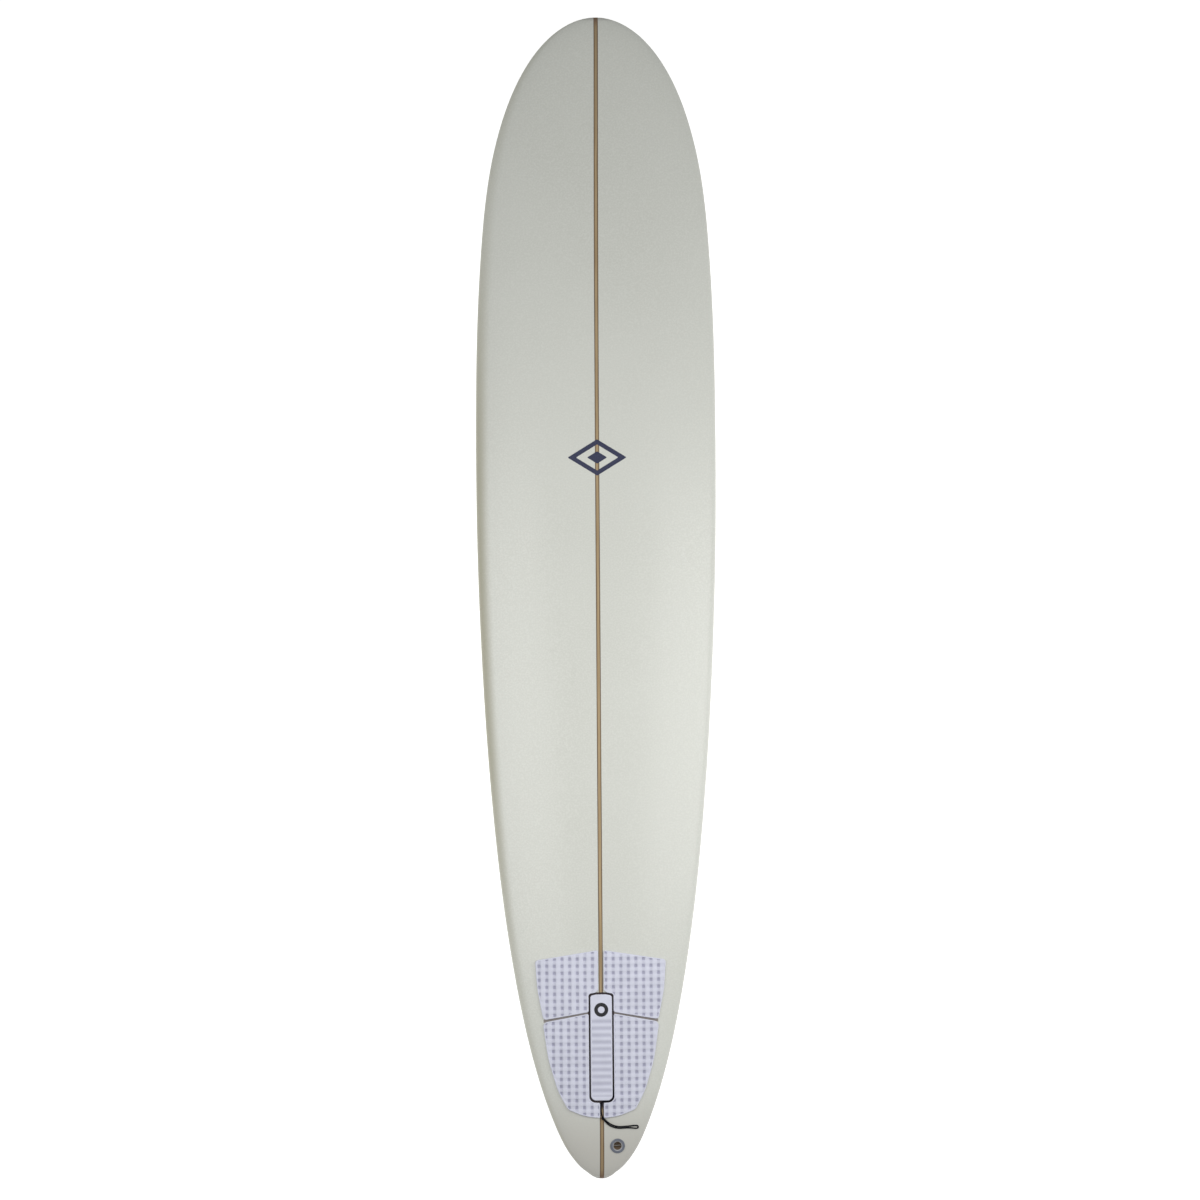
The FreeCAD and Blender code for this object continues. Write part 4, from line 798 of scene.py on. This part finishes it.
def pad_top(phase_x, phase_y, row_depth):
    """Columns cut along the board and shallower rows across it, with a deep pit where they cross."""
    def top(x, y, depth):
        cut_x = groove(x, PITCH_X, phase_x, 1.6, 5.0)
        cut_y = groove(y, PITCH_Y, phase_y, 2.0, 5.6)
        inner = smooth01((depth - 1.8) / 1.6)
        edge = 0.9 * (1 - smooth01(depth / 1.8)) ** 2
        pit = cut_x * cut_y
        cut = inner * (COLUMN_DEPTH * cut_x + row_depth * cut_y + (PIT_DEPTH - COLUMN_DEPTH - row_depth) * pit)
        # Painted shade: the colour darkens along the grooves, most in the pits.
        shade = inner * (0.12 * cut_x + 0.06 * row_depth * cut_y + 0.27 * pit)
        return PAD_THICKNESS - edge - cut, shade
    return top


PAD_OUTLINES = {
    "pad_front": [(6.7, -829.5, 4.0), (155.0, -853.0, 8.0), (150.5, -920.0, 260.0), (136.5, -994.0, 8.0),
                  (NOTCH, -975.5, 5.0), (NOTCH, -932.5, 7.0), (14.0, -929.7, 3.0), (6.7, -924.0, 3.0)],
    "pad_rear": [(NOTCH, -979.4, 4.0), (138.0, -1000.0, 12.0), (125.5, -1088.0, 300.0),
                 (103.0, -1163.0, 160.0), (80.0, -1205.5, 16.0), (40.0, -1222.0, 120.0),
                 (4.6, -1225.5, 2.0), (4.6, -1190.0, 2.5), (NOTCH, -1188.3, 15.0)],
}
# (pad, side): where a column and a row run, and how deep the rows are
PAD_CUTS = {("pad_front", -1): (-20.0, -866.9, 0.5), ("pad_front", 1): (11.2, -866.9, 0.9),
            ("pad_rear", -1): (-23.6, -985.2, 0.9), ("pad_rear", 1): (11.3, -985.2, 0.9)}
# distances from a groove's middle at which grid lines are needed
BREAKS_X = [sign * v for v in (0, 0.8, 1.6, 2.6, 3.4, 4.2, 5.0, 7.0, 9.0) for sign in (-1, 1)]
BREAKS_Y = [sign * v for v in (0, 1.0, 2.0, 3.0, 3.9, 4.8, 5.6, 7.0, 8.3) for sign in (-1, 1)]
for (pad, side), (phase_x, phase_y, row_depth) in PAD_CUTS.items():
    word = "left" if side < 0 else "right"
    corners = [(side * x, y, r) for x, y, r in PAD_OUTLINES[pad]]
    xs = lines_over(min(c[0] for c in corners), max(c[0] for c in corners), PITCH_X, phase_x, BREAKS_X)
    ys = lines_over(min(c[1] for c in corners), max(c[1] for c in corners), PITCH_Y, phase_y, BREAKS_Y)
    foam_pad(f"{pad}_{word}_waffle", f"{pad}_{word}", corners, xs, ys, pad_top(phase_x, phase_y, row_depth))

BAR_OUTLINE = [(-25.4, -937.0, 6.0), (-12.0, -934.0, 14.0), (12.0, -934.0, 14.0), (25.4, -937.0, 6.0),
               (25.4, -1184.0, 12.0), (-25.4, -1184.0, 12.0)]
RIDGE_PITCH, RIDGE_START, RIDGE_END = 16.3, -990.0, -1177.0
RIDGE_DEPTH, RIDGE_REACH = 1.5, 23.4


def bar_top(x, y, depth):
    """Rounded ridges across the bar, with a plain front part, a softened rim and painted shade in the troughs.
    """
    along = ((RIDGE_START - y) % RIDGE_PITCH) / RIDGE_PITCH
    wave = smooth01(1 - np.abs(2 * along - 1))
    inside = (smooth01((RIDGE_REACH - np.abs(x)) / 1.4) * smooth01((RIDGE_START - y) / 1.0)
              * smooth01((y - RIDGE_END) / 3.0))
    edge = 1.0 * (1 - smooth01(depth / 2.2)) ** 2
    # The second value is painted shade in the troughs between the ridges.
    return BAR_THICKNESS - edge - RIDGE_DEPTH * inside * wave, 0.24 * inside * wave


bar_xs = np.array(sorted({s * v for v in (0, 4, 8, 12, 16, 19, 21, 22, 22.4, 22.8) for s in (-1, 1)}))
bar_ys = lines_over(-1184.0, -934.0, RIDGE_PITCH, RIDGE_START, [-RIDGE_PITCH * k / 14 for k in range(14)])
foam_pad("pad_center_bar_ridged", "pad_center_bar", BAR_OUTLINE, bar_xs, bar_ys, bar_top,
         (0.5, 1.1, 1.7, 2.2))


# ------------------------------------------------------------------ leash plug

def arc_profile(centre, radius, start, end, steps):
    """Points along an arc, in degrees."""
    return [(centre[0] + radius * math.cos(math.radians(start + (end - start) * k / steps)),
             centre[1] + radius * math.sin(math.radians(start + (end - start) * k / steps)))
            for k in range(steps + 1)]


BOWL_RADIUS, BOWL_CENTRE = 9.35, -5.4
bowl = [(BOWL_RADIUS * math.sin(a), BOWL_CENTRE - BOWL_RADIUS * math.cos(a))
        for a in np.linspace(0, math.pi / 2, 17)]
bowl[0] = (0.0, bowl[0][1])
cup_profile = (bowl + [(BOWL_RADIUS, -1.4)] + arc_profile((9.85, -1.0), 0.5, 180, 140, 3)
               + arc_profile((11.9, 0.9), 0.8, 140, 90, 5)
               + arc_profile((16.4, 0.6), 1.1, 90, 0, 8)
               + [(17.5, 0.15), (14.2, 0.12), (14.2, -18.6)]
               + arc_profile((13.8, -18.6), 0.4, 0, -90, 3) + [(0.0, -19.0)])
leash_cup = lathe("leash_cup_turned", cup_profile, PLUG, smoked, "board", 128, 35)
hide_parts("leash_cup")


# ------------------------------------------------------------------ floor and light

def stage_floor():
    """A wide pale floor just under the object, glowing a little so that it stays white."""
    paint = Paint("pale_floor", Roughness=0.9, Specular_IOR_Level=0.1)
    paint.set(paint.shader, Emission_Color=(1, 1, 1, 1), Emission_Strength=0.60)
    tone = paint.ramp(paint.noise(1.5, 3.0), (0.3, (0.90, 0.90, 0.90)), (0.7, (0.93, 0.93, 0.93)))
    paint.colour(tone)
    bpy.ops.mesh.primitive_plane_add(size=60, location=(0, 0, -0.0005))
    floor = bpy.context.object
    floor.name = "floor"
    floor.data.materials.append(paint.material)


def softbox(name, place, aim, width, height, watts):
    """A white area light that the camera doesn't see."""
    lamp = bpy.data.lights.new(name, "AREA")
    lamp.shape, lamp.size, lamp.size_y, lamp.energy = "RECTANGLE", width, height, watts
    made = bpy.data.objects.new(name, lamp)
    bpy.context.scene.collection.objects.link(made)
    made.location = place
    made.rotation_mode = "QUATERNION"
    made.rotation_quaternion = (Vector(aim) - Vector(place)).to_track_quat("-Z", "Y")
    made.visible_camera = False


stage_floor()
softbox("key", (-0.9, -0.35, 1.9), (0.0, -0.25, 0.2), 1.4, 1.6, 14.5)
softbox("fill", (1.3, -0.30, 1.7), (0.05, -0.25, 0.2), 1.2, 2.0, 19)
world = bpy.data.worlds.new("studio")
bpy.context.scene.world = world
world.use_nodes = True
background = world.node_tree.nodes["Background"]
background.inputs["Color"].default_value = (0.96, 0.98, 1.0, 1)
background.inputs["Strength"].default_value = 0.36
